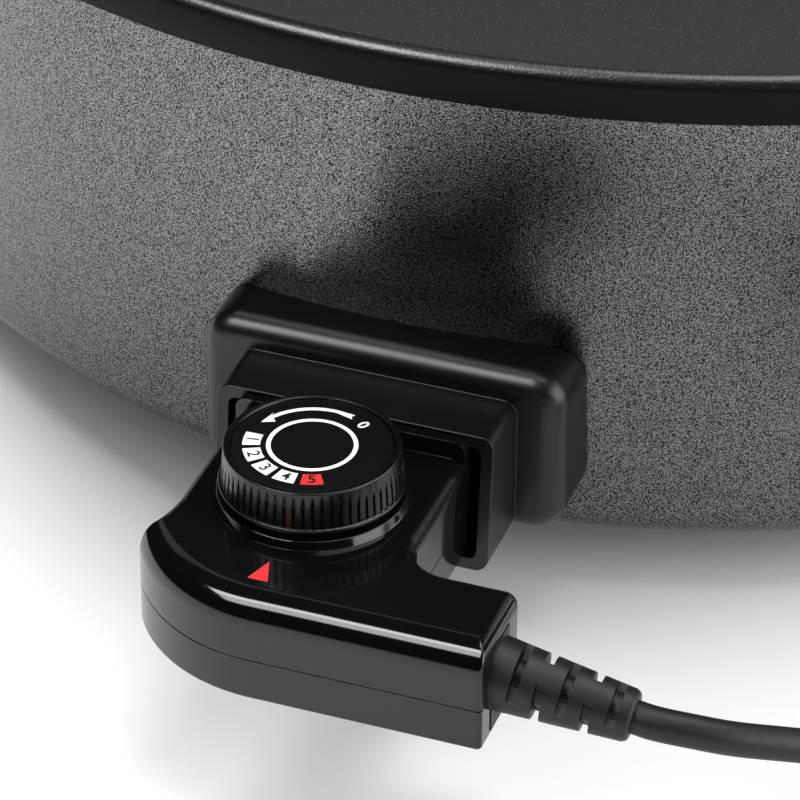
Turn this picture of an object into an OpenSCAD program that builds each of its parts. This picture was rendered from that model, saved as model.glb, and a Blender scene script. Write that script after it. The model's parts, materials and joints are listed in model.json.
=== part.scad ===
// Electric skillet with a plug-in thermostat, on the table top.
// Millimetres, +Z up, z = 0 on the table. The controller points to -Y.

/* [Pan] */
// Outside diameter over the rim
rim_d = 400; // [340:1:440]
// Height of the rim's top above the table
pan_h = 125; // [118:1:150]
// Height of the black band at the rim
rim_band_h = 9.8; // [7:0.1:12]
// Thickness of the rim, rounded over its top
rim_w = 4; // [3.5:0.1:5]
// Height of the cooking surface above the table
floor_z = 48; // [47:0.5:54]
// Thickness of the cast pan
pan_t = 2.5; // [2:0.1:3]
// Slope of the pan's wall from upright, in degrees
pan_slope = 12; // [11:0.5:16]
// Inside radius between the pan's floor and wall
pan_corner_r = 14; // [8:0.5:18]

/* [Skirt] */
// Gap between the table and the skirt
skirt_gap = 12; // [10:0.5:16]
// Step from the rim band in to the skirt
rim_step = 1.2; // [0.6:0.1:2]
// Slope of the skirt from upright, in degrees
skirt_slope = 5.6; // [4:0.1:7]
// Thickness of the skirt's sheet
skirt_t = 1.2; // [0.8:0.1:1.6]
// Outside radius of the bend at the skirt's foot
skirt_bend_r = 8; // [5:0.5:10]
// Width of the flat flange that the skirt turns in to
skirt_flange_w = 12; // [8:1:20]

/* [Base] */
// Thickness of the base plate
base_t = 1.2; // [0.8:0.1:2]
// Height of the base plate's raised middle
base_rise = 3; // [2:0.5:5]
// Diameter of the raised middle
base_middle_d = 220; // [160:5:230]
// Gap between a foot and the skirt's turned-in edge
foot_margin = 7.4; // [4:0.1:22]
// Diameter of a foot at its top
foot_d = 24; // [20:1:28]
// Diameter of the foot screws
foot_screw_d = 4; // [3:0.5:5]
// Distance of each base stud from the pan's axis
stud_reach = 70; // [55:1:80]
// Diameter of the base studs
stud_d = 6; // [5:0.5:8]

/* [Heating] */
// Diameter of the heating tube
element_d = 8; // [6:0.5:9]
// Diameter of the heating ring, at the middle of the tube
element_ring_d = 224; // [200:2:250]
// Radius of the bends that lead out to the terminals
element_bend_r = 22; // [18:1:28]
// Distance between the two terminal pins
pin_spacing = 31; // [29:0.5:32]
// Diameter of the terminal pins
pin_d = 6; // [5:0.5:6.5]
// Length of pin that stands out of the terminal block
pin_reach = 17; // [12:1:18]
// Diameter of the temperature probe
probe_d = 6; // [5:0.5:6.5]
// Length of probe beyond the controller's neck
probe_reach = 50; // [40:1:60]

/* [Socket] */
// Width of the guard on the wall
guard_w = 75; // [70:1:90]
// Height of the guard
guard_h = 35.8; // [34:0.1:45]
// How far the guard hangs below its frame
guard_drop = 1; // [0:0.1:3]
// How far the guard stands off the wall
guard_proud = 12.6; // [11:0.1:18]
// Corner radius of the guard, seen from the front
guard_corner_r = 7; // [5:0.5:10]
// Rounding of the guard's front edge
guard_edge_r = 4.5; // [2:0.5:5]
// How far the frame stands off the guard
frame_proud = 14.8; // [10:0.1:20]
// Wall thickness of the frame
frame_wall = 2.5; // [1.8:0.1:3]
// Corner radius of the frame
frame_corner_r = 2.7; // [1:0.1:3.5]
// Backward lean of the frame's front, in degrees
frame_lean = 5.5; // [0:0.5:8]
// Corner radius of the frame's mouth
mouth_corner_r = 1.5; // [0.5:0.1:2.5]
// Gap at each side of the controller's neck
neck_play_side = 2.2; // [1:0.1:3]
// Gap under the controller's neck
neck_play_below = 0.5; // [0.4:0.1:2]
// Gap over the controller's neck
neck_play_above = 1.8; // [1:0.1:3.5]
// Gap between the neck's end and the terminal block
neck_play_end = 1.2; // [0.6:0.1:3]

/* [Handles] */
// Depth of the grips' middle below the rim's band
handle_drop = 23.2; // [17:0.1:27]
// Distance between the two roots of a handle
handle_span = 92; // [80:1:110]
// How far the middle of a grip stands off the wall
handle_proud = 36; // [30:1:45]
// Radius of the grip's bends
handle_bend_r = 20; // [16:1:26]
// Thickness of a grip, seen from above
grip_w = 15; // [12:0.5:18]
// Height of a grip
grip_h = 19; // [14:0.5:22]
// Extra width and height of a handle's roots at the wall
root_flare = 8; // [4:0.5:10]
// Diameter of the screws through the skirt
wall_screw_d = 4; // [3:0.5:4.5]

/* [Controller] */
// Distance from the frame's mouth to the dial's axis
dial_ahead = 21.3; // [20.5:0.1:30]
// Width of the neck
neck_w = 47.2; // [46:0.2:54]
// Height of the lower shell
lower_h = 8.9; // [8:0.1:10]
// Height of the upper shell
upper_h = 13; // [12:0.1:16]
// Height of the terminals above the parting line
terminal_rise = 4.3; // [4:0.1:5]
// Wall thickness of the shells
shell_t = 2; // [1.6:0.1:2.4]
// Rounding of the upper shell's top edge at its sides and back
top_edge_r = 3; // [2.5:0.5:4]
// Rounding of the upper shell's top edge along the front
front_edge_r = 5.8; // [4:0.2:7]
// Rounding of the lower shell's bottom edge
bottom_edge_r = 0.8; // [0.5:0.1:3]
// Distance from the dial's axis to the front
front_reach = 36.9; // [35:0.1:42]
// Distance from the dial's axis to the end of the cord arm
arm_reach = 46.7; // [44:0.1:60]
// Width of the cord arm
arm_w = 22; // [21:0.1:25]
// Distance from the front face to the cord's axis
cord_inset = 10.15; // [9.9:0.05:11.5]
// Radius of the large front corner
front_r = 32.8; // [30:0.2:34]
// Distance from the dial's axis to the right of which the large corner ends
front_x = 1.5; // [1:0.1:2.5]
// Radius of the hollow flank beside the dial
flank_r = 26; // [22:1:34]
// Distance from the dial's axis forward to where the hollow flank starts
flank_ahead = 7.5; // [5:0.5:9]
// Radius of the hollow corner between neck and arm
arm_fillet_r = 8.5; // [5:0.5:10]
// Radius of the arm's rear corner
arm_corner_r = 2.5; // [1:0.5:3]
// Radius of the arm's front corner
arm_front_r = 1; // [0.6:0.1:2]
// Radius of the flank's tip
tip_r = 1.5; // [1:0.5:3]
// Height of the rib that stops the neck at the frame
stop_rib_h = 3.9; // [3.2:0.1:5]
// Thickness of the stop rib
stop_rib_t = 2; // [1.5:0.1:3]
// Diameter of the housing screws
case_screw_d = 2.4; // [2:0.1:2.6]

/* [Dial] */
// Diameter of the dial at its lower lip
dial_d = 35.6; // [34:0.2:37]
// Diameter of the dial at its top
dial_top_d = 33.6; // [32:0.2:34]
// Height of the dial
dial_h = 8.5; // [7:0.1:10]
// Gap between the upper shell and the dial
dial_lift = 2.9; // [2.5:0.1:4]
// Diameter of the printed label
label_d = 30.6; // [28:0.2:31]
// Thickness of the printed label
label_t = 0.5; // [0.3:0.1:0.8]
// Depth of the label below the dial's edge
label_recess = 0.35; // [0.1:0.05:0.6]
// Number of flutes round the dial
flutes = 60; // [30:2:72]
// Depth of the flutes
flute_depth = 0.6; // [0.3:0.1:0.8]
// Height to which the flutes reach up the dial
flute_h = 4.8; // [3.5:0.1:6]
// Diameter of the dial's collar on the housing
collar_d = 38; // [37:0.2:40]
// Diameter of the spindle
spindle_d = 6; // [5:0.5:7]

/* [Cord] */
// Diameter of the power cord
cord_d = 6.5; // [5.5:0.1:7]
// Length of the strain relief
boot_len = 26; // [20:0.5:30]
// Diameter of the strain relief at its root
boot_root_d = 14; // [12:0.5:15]
// Diameter of the strain relief at its tip
boot_tip_d = 9.8; // [9:0.2:11]
// Droop of the strain relief, in degrees
boot_droop = 8.5; // [0:0.5:10]
// Number of cuts along the strain relief
boot_cuts = 5; // [3:1:5]
// Spacing of the cuts
boot_cut_pitch = 4.6; // [4:0.1:4.8]
// Width of a cut
boot_cut_w = 1.8; // [1.4:0.1:2.4]
// Turn of the strain relief about its own axis, in degrees
boot_twist = 27; // [0:1:45]
// Gap between neighbouring turns of the put-away coil
coil_gap = 0.7; // [0.5:0.1:1]
// Radius of the coil's outer turn, at the middle of the cord
coil_r = 46; // [42:1:50]
// Width of the tie round the coil
tie_w = 9; // [6:1:14]
// Thickness of the tie
tie_t = 0.6; // [0.4:0.1:0.7]
// Diameter of the plug's body
plug_d = 37; // [34:1:39]
// Length of the plug's body
plug_len = 36; // [30:1:42]
// Diameter of the plug's pins
plug_pin_d = 4.8; // [4:0.1:5]
// Length of the plug's pins
plug_pin_len = 19; // [17:0.5:20]
// Distance between the plug's pins
plug_pin_spacing = 19; // [18:0.5:20]

/* [Clearances] */
// Gap between parts that slide over each other
slide_fit = 0.2; // [0.1:0.05:0.3]
// Gap between fixed parts that are fitted together
seat_fit = 0.15; // [0.05:0.05:0.3]
// Gap between parts that only lie near each other
free_gap = 0.3; // [0.2:0.05:0.5]

/* [Hidden] */
$fn = 96;

// Heights
rim_z = pan_h - rim_band_h;
handle_z = rim_z - handle_drop;
floor_under = floor_z - pan_t;
axis_z = floor_under - seat_fit - element_d / 2;
base_z = skirt_gap + skirt_t;
parting_z = axis_z - terminal_rise;
case_bottom = parting_z - lower_h;
case_top = parting_z + upper_h;

// Radii of the pan and its skirt
rim_r = rim_d / 2;
skirt_top_r = rim_r - rim_step;
function skirt_r(z) = skirt_top_r - (rim_z - z) * tan(skirt_slope);
skirt_foot_r = skirt_r(skirt_gap);
bend_centre_r = skirt_foot_r - skirt_bend_r * (1 - sin(skirt_slope)) / cos(skirt_slope);
skirt_flange_r = bend_centre_r - skirt_flange_w;
foot_reach = skirt_flange_r - foot_margin - foot_d / 2;
rim_inner_r = rim_r - rim_w;

// Distances from the pan's axis to the front
socket_wall_r = skirt_r(axis_z);
guard_front = socket_wall_r + guard_proud;
frame_front = guard_front + frame_proud;
dial_reach = frame_front + dial_ahead;
controller_front = dial_reach + front_reach;
// The origin lies under the middle of the pan and controller together
pan_y = (controller_front - rim_r) / 2;

// Terminal block, between the skirt and the guard's cavity
block_w = pin_spacing + 11;
block_z0 = axis_z - 9.5;
block_z1 = axis_z + 8.5;
block_back = socket_wall_r - 4;
block_front = socket_wall_r + 7.6;
pin_back = block_back - 3;
neck_end = dial_reach - block_front - neck_play_end;

// Opening of the socket's frame, round the controller's neck
mouth_w = neck_w + 2 * neck_play_side;
mouth_z0 = case_bottom - neck_play_below;
mouth_z1 = case_top + neck_play_above;
frame_w = mouth_w + 2 * frame_wall;
frame_z0 = mouth_z0 - frame_wall;
frame_z1 = mouth_z1 + frame_wall;
guard_z0 = frame_z0 - guard_drop;
guard_z1 = guard_z0 + guard_h;
// How far the frame's front is set back at a height
function frame_set_back(z) = (z - axis_z) * tan(frame_lean);

// Dial
dial_z = case_top + dial_lift;
dial_top = dial_z + dial_h;
label_top = dial_top - label_recess;
label_z = label_top - label_t;
collar_h = dial_lift * 0.55;
hub_h = dial_lift - free_gap;

// Cord arm and strain relief, from the dial's axis
arm_y = -front_reach + cord_inset;
boot_z = parting_z + 2;
boot_turn = 2;

// Housing screws, from the dial's axis
post_r = 3;
screw_places = [
  [-7.5, neck_end - 6], [7.5, neck_end - 6],
  [-20, -18], [arm_reach - 13.5, -front_reach + shell_t + post_r + 0.7]
];

// Cord route from the boot's tip to the coil, measured from the pan's axis
cord_route = [
  [82, -264.6, 33.6], [90, -261.2, 31.3], [100, -253.9, 27.2], [108, -246.6, 22.6],
  [116, -238.4, 17.4], [124, -229.6, 12.4], [132, -220.6, 8.2], [140, -211.4, 5.2]
];
// Middle of the coil, and the direction in which the cord first meets it
coil_centre = [187, -227];
coil_start_angle = 140;
coil_end_angle = 90;
coil_turns_in = 2;
coil_turns_out = 1.5 + (coil_start_angle - coil_end_angle) / 360;
rings_per_turn = 24;
coil_pitch = cord_d + coil_gap;
coil_z = cord_d / 2 + tie_t + free_gap;
coil_total_angle = 360 * (coil_turns_in + 0.5 + coil_turns_out);
// Lead from the coil to the plug, measured from the coil's end
plug_axis_z = plug_d / 2;
lead_bend_r = 30;
lead_straight = 9;
lead_run = 4;
boot_plug_len = 20;

// Points of an arc of n steps
function arc(c, r, a0, a1, n) =
  [for (i = [0 : n]) let (a = a0 + (a1 - a0) * i / n) c + r * [cos(a), sin(a)]];

function unit(v) = v / norm(v);

// Meeting point of two circles, on the left when looking from c1 to c2
function circles_meet(c1, r1, c2, r2) =
  let (
    d = norm(c2 - c1),
    along = (d * d + r1 * r1 - r2 * r2) / (2 * d),
    off = sqrt(r1 * r1 - along * along),
    u = (c2 - c1) / d
  )
  c1 + u * along + [-u[1], u[0]] * off;

function bearing(from, to) = atan2(to[1] - from[1], to[0] - from[0]);

// Stack of rings with equal point counts, closed at both ends
module loft(rings) {
  n = len(rings[0]);
  last = len(rings) - 1;
  points = [for (ring = rings) each ring];
  sides = [
    for (j = [0 : last - 1]) for (i = [0 : n - 1])
      let (a = j * n + i, b = j * n + (i + 1) % n)
      each [[a, a + n, b], [b, a + n, b + n]]
  ];
  ends = [[for (i = [0 : n - 1]) i], [for (i = [n - 1 : -1 : 0]) last * n + i]];
  polyhedron(points, concat(sides, ends), convexity = 8);
}

// Cup between an outer and an inner stack of rings that start at the open face.
// Both end faces fan out from hub, a place in plan that sees the whole outline
module cup(outer, inner, hub) {
  n = len(outer[0]);
  o = len(outer);
  m = len(inner);
  hubs = [for (face = [outer[o - 1], inner[m - 1]]) [hub[0], hub[1], face[0][2]]];
  points = concat([for (ring = outer) each ring], [for (ring = inner) each ring], hubs);
  function wall(start, rows) = [
    for (j = [0 : rows - 2]) for (i = [0 : n - 1])
      let (a = start + j * n + i, b = start + j * n + (i + 1) % n)
      each [[a, a + n, b], [b, a + n, b + n]]
  ];
  function flip(faces) = [for (f = faces) [f[0], f[2], f[1]]];
  base = o * n;
  lip = [
    for (i = [0 : n - 1])
      let (a = i, b = (i + 1) % n)
      each [[a, b, base + a], [b, base + b, base + a]]
  ];
  function cap(start, middle) = [for (i = [0 : n - 1]) [middle, start + (i + 1) % n, start + i]];
  hub_at = base + m * n;
  caps = concat(cap(base - n, hub_at), flip(cap(hub_at - n, hub_at + 1)));
  polyhedron(points, concat(wall(0, o), flip(wall(base, m)), lip, caps), convexity = 10);
}

// Direction of a path at point i
function heading(path, i) =
  let (last = len(path) - 1)
  unit(path[min(i + 1, last)] - path[max(i - 1, 0)]);

// Ring of points across a path at point i, a wide and b high; power 2 is an ellipse
function cross_ring(path, i, a, b, sides, power = 2) =
  let (
    t = heading(path, i),
    side = unit(cross([0, 0, 1], t)),
    up = cross(t, side),
    bend = 2 / power
  )
  [for (k = [0 : sides - 1])
    let (
      w = 360 * (k + 0.5) / sides,
      x = sign(cos(w)) * pow(abs(cos(w)), bend),
      y = sign(sin(w)) * pow(abs(sin(w)), bend)
    )
    path[i] + a * x * side + b * y * up];

// Round tube along a path
module tube(path, d, sides) {
  loft([for (i = [len(path) - 1 : -1 : 0]) cross_ring(path, i, d / 2, d / 2, sides)]);
}

// Rectangle with round corners in the XZ plane, at depth y
function rounded_rect(w, z0, z1, r, y, n) =
  let (x = w / 2 - r, lo = z0 + r, hi = z1 - r)
  [for (p = concat(
      arc([x, hi], r, 0, 90, n), arc([-x, hi], r, 90, 180, n),
      arc([-x, lo], r, 180, 270, n), arc([x, lo], r, 270, 360, n)))
    [p[0], y, p[1]]];

// Moves from the pan's axis to the part's origin
module at_pan() {
  translate([0, pan_y, 0]) children();
}

// Moves from the dial's axis to the part's origin
module at_dial() {
  translate([0, pan_y - dial_reach, 0]) children();
}

// Cylinder along Y from y0 to y1, at the height of the terminals
module along_y(x, y0, y1, r) {
  translate([x, y0, axis_z]) rotate([-90, 0, 0]) cylinder(h = y1 - y0, r = r);
}

// Solid inside the skirt's outer face, grown by gap
module inside_skirt(gap) {
  translate([0, 0, skirt_gap])
    cylinder(h = rim_z - skirt_gap, r1 = skirt_foot_r + gap, r2 = skirt_top_r + gap, $fn = 180);
}

// Copies children along the radius at a height, with the skirt's face at x = 0
module on_skirt(angle, z) {
  rotate([0, 0, angle]) translate([skirt_r(z), 0, z]) children();
}

// Screw along X whose head lies inside the skirt
wall_screw_len = 11;
wall_screw_head_h = 1.8;
wall_screw_head_r = wall_screw_d * 0.85;
module wall_screw() {
  head_x = -skirt_t - seat_fit - wall_screw_head_r * tan(skirt_slope) - wall_screw_head_h;
  rotate([0, 90, 0]) {
    translate([0, 0, head_x]) cylinder(h = wall_screw_head_h, r = wall_screw_head_r);
    translate([0, 0, head_x]) cylinder(h = wall_screw_len - head_x, r = wall_screw_d / 2);
  }
}

// Hole for a wall screw, from inside the skirt to past its tip
module wall_screw_hole() {
  translate([-skirt_t - 3, 0, 0]) rotate([0, 90, 0])
    cylinder(h = wall_screw_len + skirt_t + 3 + free_gap, r = wall_screw_d / 2 + seat_fit);
}

guard_screw_angle = asin((mouth_w / 2 + guard_w / 2) / 2 / socket_wall_r);
guard_screw_z = (guard_z0 + guard_z1) / 2;
handle_root_angle = asin(handle_span / 2 / skirt_r(handle_z));

module guard_screw_places() {
  for (side = [-1, 1]) on_skirt(-90 + side * guard_screw_angle, guard_screw_z) children();
}

module handle_screw_places() {
  for (face = [0, 180]) for (side = [-1, 1])
    on_skirt(face + side * handle_root_angle, handle_z) children();
}

foot_angles = [225, 315, 135, 45];
stud_angles = [30, 150, 270];

// Body

module inner_pan() {
  slope = tan(pan_slope);
  rim_top_r = rim_w / 2;
  wall_top = pan_h - rim_top_r;
  // The inner wall meets the floor's corner on a tangent
  corner_r = rim_inner_r - (wall_top - floor_z) * slope
    - pan_corner_r * (1 - sin(pan_slope)) / cos(pan_slope);
  corner = [corner_r, floor_z + pan_corner_r];
  outer_top_r = rim_inner_r - (wall_top - rim_z) * slope + pan_t / cos(pan_slope);
  profile = concat(
    [[0, floor_under]],
    arc(corner, pan_corner_r + pan_t, -90, -pan_slope, 10),
    [[outer_top_r, rim_z], [rim_r - 0.6, rim_z], [rim_r, rim_z + 0.6]],
    arc([rim_r - rim_top_r, wall_top], rim_top_r, 0, 180, 12),
    arc(corner, pan_corner_r, -pan_slope, -90, 10),
    [[0, floor_z]]
  );
  color("#2b2b2d") at_pan() rotate_extrude($fn = 180) polygon(profile);
}

module outer_skirt() {
  slope = skirt_slope;
  centre = [bend_centre_r, skirt_gap + skirt_bend_r];
  profile = concat(
    [[skirt_top_r, rim_z], [skirt_top_r - skirt_t / cos(slope), rim_z]],
    arc(centre, skirt_bend_r - skirt_t, -slope, -90, 8),
    [[skirt_flange_r, base_z], [skirt_flange_r, skirt_gap]],
    arc(centre, skirt_bend_r, -90, -slope, 8)
  );
  window_w = block_w + 2 * free_gap;
  window_h = block_z1 - block_z0 + 2 * free_gap;
  color("#77787a") at_pan() difference() {
    rotate_extrude($fn = 180) polygon(profile);
    translate([-window_w / 2, -skirt_top_r - 1, block_z0 - free_gap])
      cube([window_w, 40, window_h]);
    guard_screw_places() wall_screw_hole();
    handle_screw_places() wall_screw_hole();
  }
}

module base_plate() {
  plate_r = bend_centre_r - free_gap;
  middle_r = base_middle_d / 2;
  profile = [
    [0, base_z + base_rise], [middle_r, base_z + base_rise], [middle_r + base_rise, base_z],
    [plate_r, base_z], [plate_r, base_z + base_t],
    [middle_r + base_rise + base_t / 2, base_z + base_t],
    [middle_r + base_t / 2, base_z + base_rise + base_t], [0, base_z + base_rise + base_t]
  ];
  color("#a9abac") at_pan() difference() {
    rotate_extrude($fn = 180) polygon(profile);
    for (a = stud_angles) rotate([0, 0, a]) translate([stud_reach, 0, 0])
      cylinder(h = floor_z, r = stud_d / 2 + free_gap);
    for (a = foot_angles) rotate([0, 0, a]) translate([foot_reach, 0, 0])
      cylinder(h = floor_z, r = foot_screw_d / 2 + seat_fit);
  }
}

base_nut_h = 3.6;
base_nut_w = 10;
module base_studs() {
  stud_z = base_z + base_rise - base_nut_h;
  color("#b5b5b0") at_pan() for (a = stud_angles)
    rotate([0, 0, a]) translate([stud_reach, 0, stud_z])
      cylinder(h = floor_under - stud_z, r = stud_d / 2);
}

module base_nuts() {
  color("#b5b5b0") at_pan() for (a = stud_angles)
    rotate([0, 0, a]) translate([stud_reach, 0, base_z + base_rise - base_nut_h])
      difference() {
        cylinder(h = base_nut_h, d = (base_nut_w + stud_d - 6) / cos(30), $fn = 6);
        translate([0, 0, -1]) cylinder(h = base_nut_h + 2, r = stud_d / 2 + seat_fit / 3);
      }
}

// Tapered rubber foot with a recess for its screw
foot_recess_h = 6;
module foot(angle) {
  head_r = foot_screw_d + seat_fit + free_gap;
  color("#1c1c1d") at_pan() rotate([0, 0, angle]) translate([foot_reach, 0, 0])
    rotate_extrude() polygon([
      [head_r, 0], [foot_d / 2 - 3, 0], [foot_d / 2 - 2, 1], [foot_d / 2, base_z - 1],
      [foot_d / 2, base_z], [foot_screw_d / 2 + seat_fit, base_z],
      [foot_screw_d / 2 + seat_fit, foot_recess_h], [head_r, foot_recess_h]
    ]);
}

module foot_front_left() { foot(foot_angles[0]); }
module foot_front_right() { foot(foot_angles[1]); }
module foot_rear_left() { foot(foot_angles[2]); }
module foot_rear_right() { foot(foot_angles[3]); }

foot_nut_h = 3.2;
module foot_screws() {
  head_h = 2.6;
  top = base_z + base_t + foot_nut_h + 0.8;
  color("#b5b5b0") at_pan() for (a = foot_angles)
    rotate([0, 0, a]) translate([foot_reach, 0, foot_recess_h - head_h]) {
      cylinder(h = head_h, r = foot_screw_d);
      cylinder(h = top - foot_recess_h + head_h, r = foot_screw_d / 2);
    }
}

module foot_nuts() {
  color("#b5b5b0") at_pan() for (a = foot_angles)
    rotate([0, 0, a]) translate([foot_reach, 0, base_z + base_t]) difference() {
      cylinder(h = foot_nut_h, d = (foot_screw_d + 3) / cos(30), $fn = 6);
      translate([0, 0, -1]) cylinder(h = foot_nut_h + 2, r = foot_screw_d / 2 + seat_fit / 3);
    }
}

// Heating and sensing under the pan's floor

module heating_element() {
  ring_r = element_ring_d / 2;
  leg_x = pin_spacing / 2;
  bend_x = leg_x + element_bend_r;
  bend_y = -sqrt(pow(ring_r + element_bend_r, 2) - bend_x * bend_x);
  meet = bearing([0, 0], [bend_x, bend_y]);
  half = concat(
    [[leg_x, -pin_back + seat_fit]],
    arc([bend_x, bend_y], element_bend_r, 180, 180 + meet, 8),
    arc([0, 0], ring_r, meet + 6, 90, 24)
  );
  left = [for (i = [len(half) - 2 : -1 : 0]) [-half[i][0], half[i][1]]];
  path = [for (p = concat(half, left)) [p[0], p[1], axis_z]];
  color("#8d8f8c") at_pan() tube(path, element_d, 12);
}

clip_len = 12;
clip_t = 1.2;
module element_clips() {
  // The straight clip leaves room for the ring's curve along its length
  inner_r = element_d / 2 + free_gap + clip_len * clip_len / (4 * element_ring_d);
  outer_r = inner_r + clip_t;
  ear_w = 2 * outer_r + 14;
  color("#b9bbb8") at_pan() for (a = [90, 210, 330])
    rotate([0, 0, a]) translate([element_ring_d / 2, -clip_len / 2, axis_z]) difference() {
      union() {
        rotate([-90, 0, 0]) cylinder(h = clip_len, r = outer_r);
        translate([-outer_r, 0, 0]) cube([2 * outer_r, clip_len, floor_under - axis_z]);
        translate([-ear_w / 2, 0, floor_under - axis_z - clip_t]) cube([ear_w, clip_len, clip_t]);
      }
      translate([0, -1, 0]) rotate([-90, 0, 0]) cylinder(h = clip_len + 2, r = inner_r);
      translate([-inner_r, -1, 0]) cube([2 * inner_r, clip_len + 2, element_d]);
      translate([-ear_w, -1, floor_under - axis_z]) cube([2 * ear_w, clip_len + 2, element_d]);
    }
}

module terminal_block() {
  color("#d8d2c4") at_pan() difference() {
    translate([-block_w / 2, -block_front, block_z0])
      cube([block_w, block_front - block_back, block_z1 - block_z0]);
    for (side = [-1, 1])
      along_y(side * pin_spacing / 2, -block_front - 1, -block_back + 1, pin_d / 2 + seat_fit / 3);
    along_y(0, -block_front - 1, -block_back + 1, probe_d / 2 + free_gap);
  }
}

module terminal_pins() {
  tip = pin_d / 6;
  color("#c9c9c4") at_pan() for (side = [-1, 1]) {
    x = side * pin_spacing / 2;
    along_y(x, -block_front - pin_reach + tip, -pin_back, pin_d / 2);
    translate([x, -block_front - pin_reach, axis_z]) rotate([-90, 0, 0])
      cylinder(h = tip, r1 = pin_d / 2 - tip, r2 = pin_d / 2);
  }
}

probe_tip_y = -(dial_reach - neck_end) + probe_reach;
module probe_socket() {
  w = probe_d + 10;
  back = probe_tip_y + 4;
  front = -block_back + 4;
  color("#a4a6a4") at_pan() difference() {
    translate([-w / 2, front, axis_z - probe_d / 2 - 2])
      cube([w, back - front, floor_under - axis_z + probe_d / 2 + 2]);
    along_y(0, front - 1, probe_tip_y + free_gap, probe_d / 2 + slide_fit);
    translate([0, probe_tip_y + free_gap, axis_z]) sphere(r = probe_d / 2 + slide_fit);
  }
}

// Socket on the wall

module socket_guard() {
  steps = 5;
  function ring(inset, y) = rounded_rect(
    guard_w - 2 * inset, guard_z0 + inset, guard_z1 - inset, guard_corner_r - inset, y, 6);
  function leaning(ring) = [for (p = ring) p + [0, frame_set_back(p[2]), 0]];
  plate = concat(
    [ring(0, -socket_wall_r + 12)],
    [for (i = [0 : steps]) let (a = 90 * i / steps)
      ring(guard_edge_r * (1 - cos(a)), -guard_front + guard_edge_r * (1 - sin(a)))]
  );
  frame = [
    rounded_rect(frame_w, frame_z0, frame_z1, frame_corner_r, -guard_front + guard_edge_r, 4),
    leaning(rounded_rect(frame_w, frame_z0, frame_z1, frame_corner_r, -frame_front, 4))
  ];
  mouth = [
    for (y = [-block_front, -frame_front - frame_proud])
      rounded_rect(mouth_w, mouth_z0, mouth_z1, mouth_corner_r, y, 4)
  ];
  hole_w = block_w + 2 * free_gap;
  hole_h = block_z1 - block_z0 + 2 * free_gap;
  color("#191919") at_pan() difference() {
    union() {
      loft(plate);
      loft(frame);
    }
    loft(mouth);
    translate([-hole_w / 2, -frame_front, block_z0 - free_gap]) cube([hole_w, frame_front, hole_h]);
    inside_skirt(seat_fit);
    guard_screw_places() wall_screw_hole();
  }
}

module guard_screws() {
  color("#b5b5b0") at_pan() guard_screw_places() wall_screw();
}

// Moulded grip that springs from the wall in two flared roots
module handle() {
  wall_x = skirt_r(handle_z);
  grip_x = wall_x + handle_proud;
  y = handle_span / 2;
  r = handle_bend_r;
  start = wall_x - 12;
  leg = [for (i = [0 : 4]) [start + (grip_x - r - start) * i / 5, -y]];
  half = concat(leg, arc([grip_x - r, -y + r], r, -90, 0, 6), [[grip_x, -y / 4]]);
  mirrored = [for (i = [len(half) - 1 : -1 : 0]) [half[i][0], -half[i][1]]];
  path = [for (p = concat(half, mirrored)) [p[0], p[1], handle_z]];
  function flare(x) = root_flare * pow(max(0, 1 - (x - start) / (grip_x - r - start)), 2);
  rings = [
    for (i = [len(path) - 1 : -1 : 0])
      let (extra = flare(path[i][0]))
      cross_ring(path, i, (grip_w + extra) / 2, (grip_h + extra) / 2, 16, 2.8)
  ];
  difference() {
    loft(rings);
    inside_skirt(seat_fit);
    for (side = [-1, 1]) on_skirt(side * handle_root_angle, handle_z) wall_screw_hole();
  }
}

module handle_right() { color("#191919") at_pan() handle(); }
module handle_left() { color("#191919") at_pan() rotate([0, 0, 180]) handle(); }

module handle_screws() {
  color("#b5b5b0") at_pan() handle_screw_places() wall_screw();
}

// Controller housing

neck_x = neck_w / 2;
neck_corner_r = 3;
front_centre = [front_x, -front_reach + front_r];
flank_centre = [-neck_x - flank_r, -flank_ahead];
arm_back = -front_reach + arm_w;
arm_fillet = [neck_x + arm_fillet_r, arm_back + arm_fillet_r];
least_r = 0.3;
// Place in the arm's root that sees the whole plan
plan_hub = [0, arm_back - arm_w / 4];

// Arcs of the housing's plan drawn in by inset, and by ahead along its front, anticlockwise from the
// neck's rear right corner: centre, radius, first angle, last angle and steps
function plan_arcs(inset, ahead) =
  let (
    neck_r = max(neck_corner_r - inset, least_r),
    arm_r = max(arm_corner_r - inset, least_r),
    bow_r = max(arm_front_r - inset, least_r),
    point_r = max(tip_r - inset, least_r),
    side = neck_x - inset - neck_r,
    rear = neck_end - inset - neck_r,
    end = arm_reach - inset,
    tip = circles_meet(
      front_centre, front_r - ahead - point_r, flank_centre, flank_r + inset + point_r),
    front_start = 360 + bearing(front_centre, tip)
  )
  [
    [[side, rear], neck_r, 0, 90, 3],
    [[-side, rear], neck_r, 90, 180, 3],
    [flank_centre, flank_r + inset, 0, bearing(flank_centre, tip), 7],
    [tip, point_r, bearing(tip, flank_centre), front_start, 4],
    [front_centre, front_r - ahead, front_start, 270, 12],
    [[end - bow_r, -front_reach + ahead + bow_r], bow_r, 270, 360, 4],
    [[end - arm_r, arm_back - inset - arm_r], arm_r, 0, 90, 4],
    [arm_fillet, arm_fillet_r + inset, 270, 180, 6]
  ];

// Plan of the housing at height z, drawn in by inset, and by ahead along its front
function plan(inset, ahead, z) =
  [for (a = plan_arcs(inset, ahead)) for (p = arc(a[0], a[1], a[2], a[3], a[4])) [p[0], p[1], z]];

// How far an edge of radius r is drawn in where it lies drop inside the face
function edge_inset(r, drop) = drop < r ? r - sqrt(r * r - (r - drop) * (r - drop)) : 0;

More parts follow.
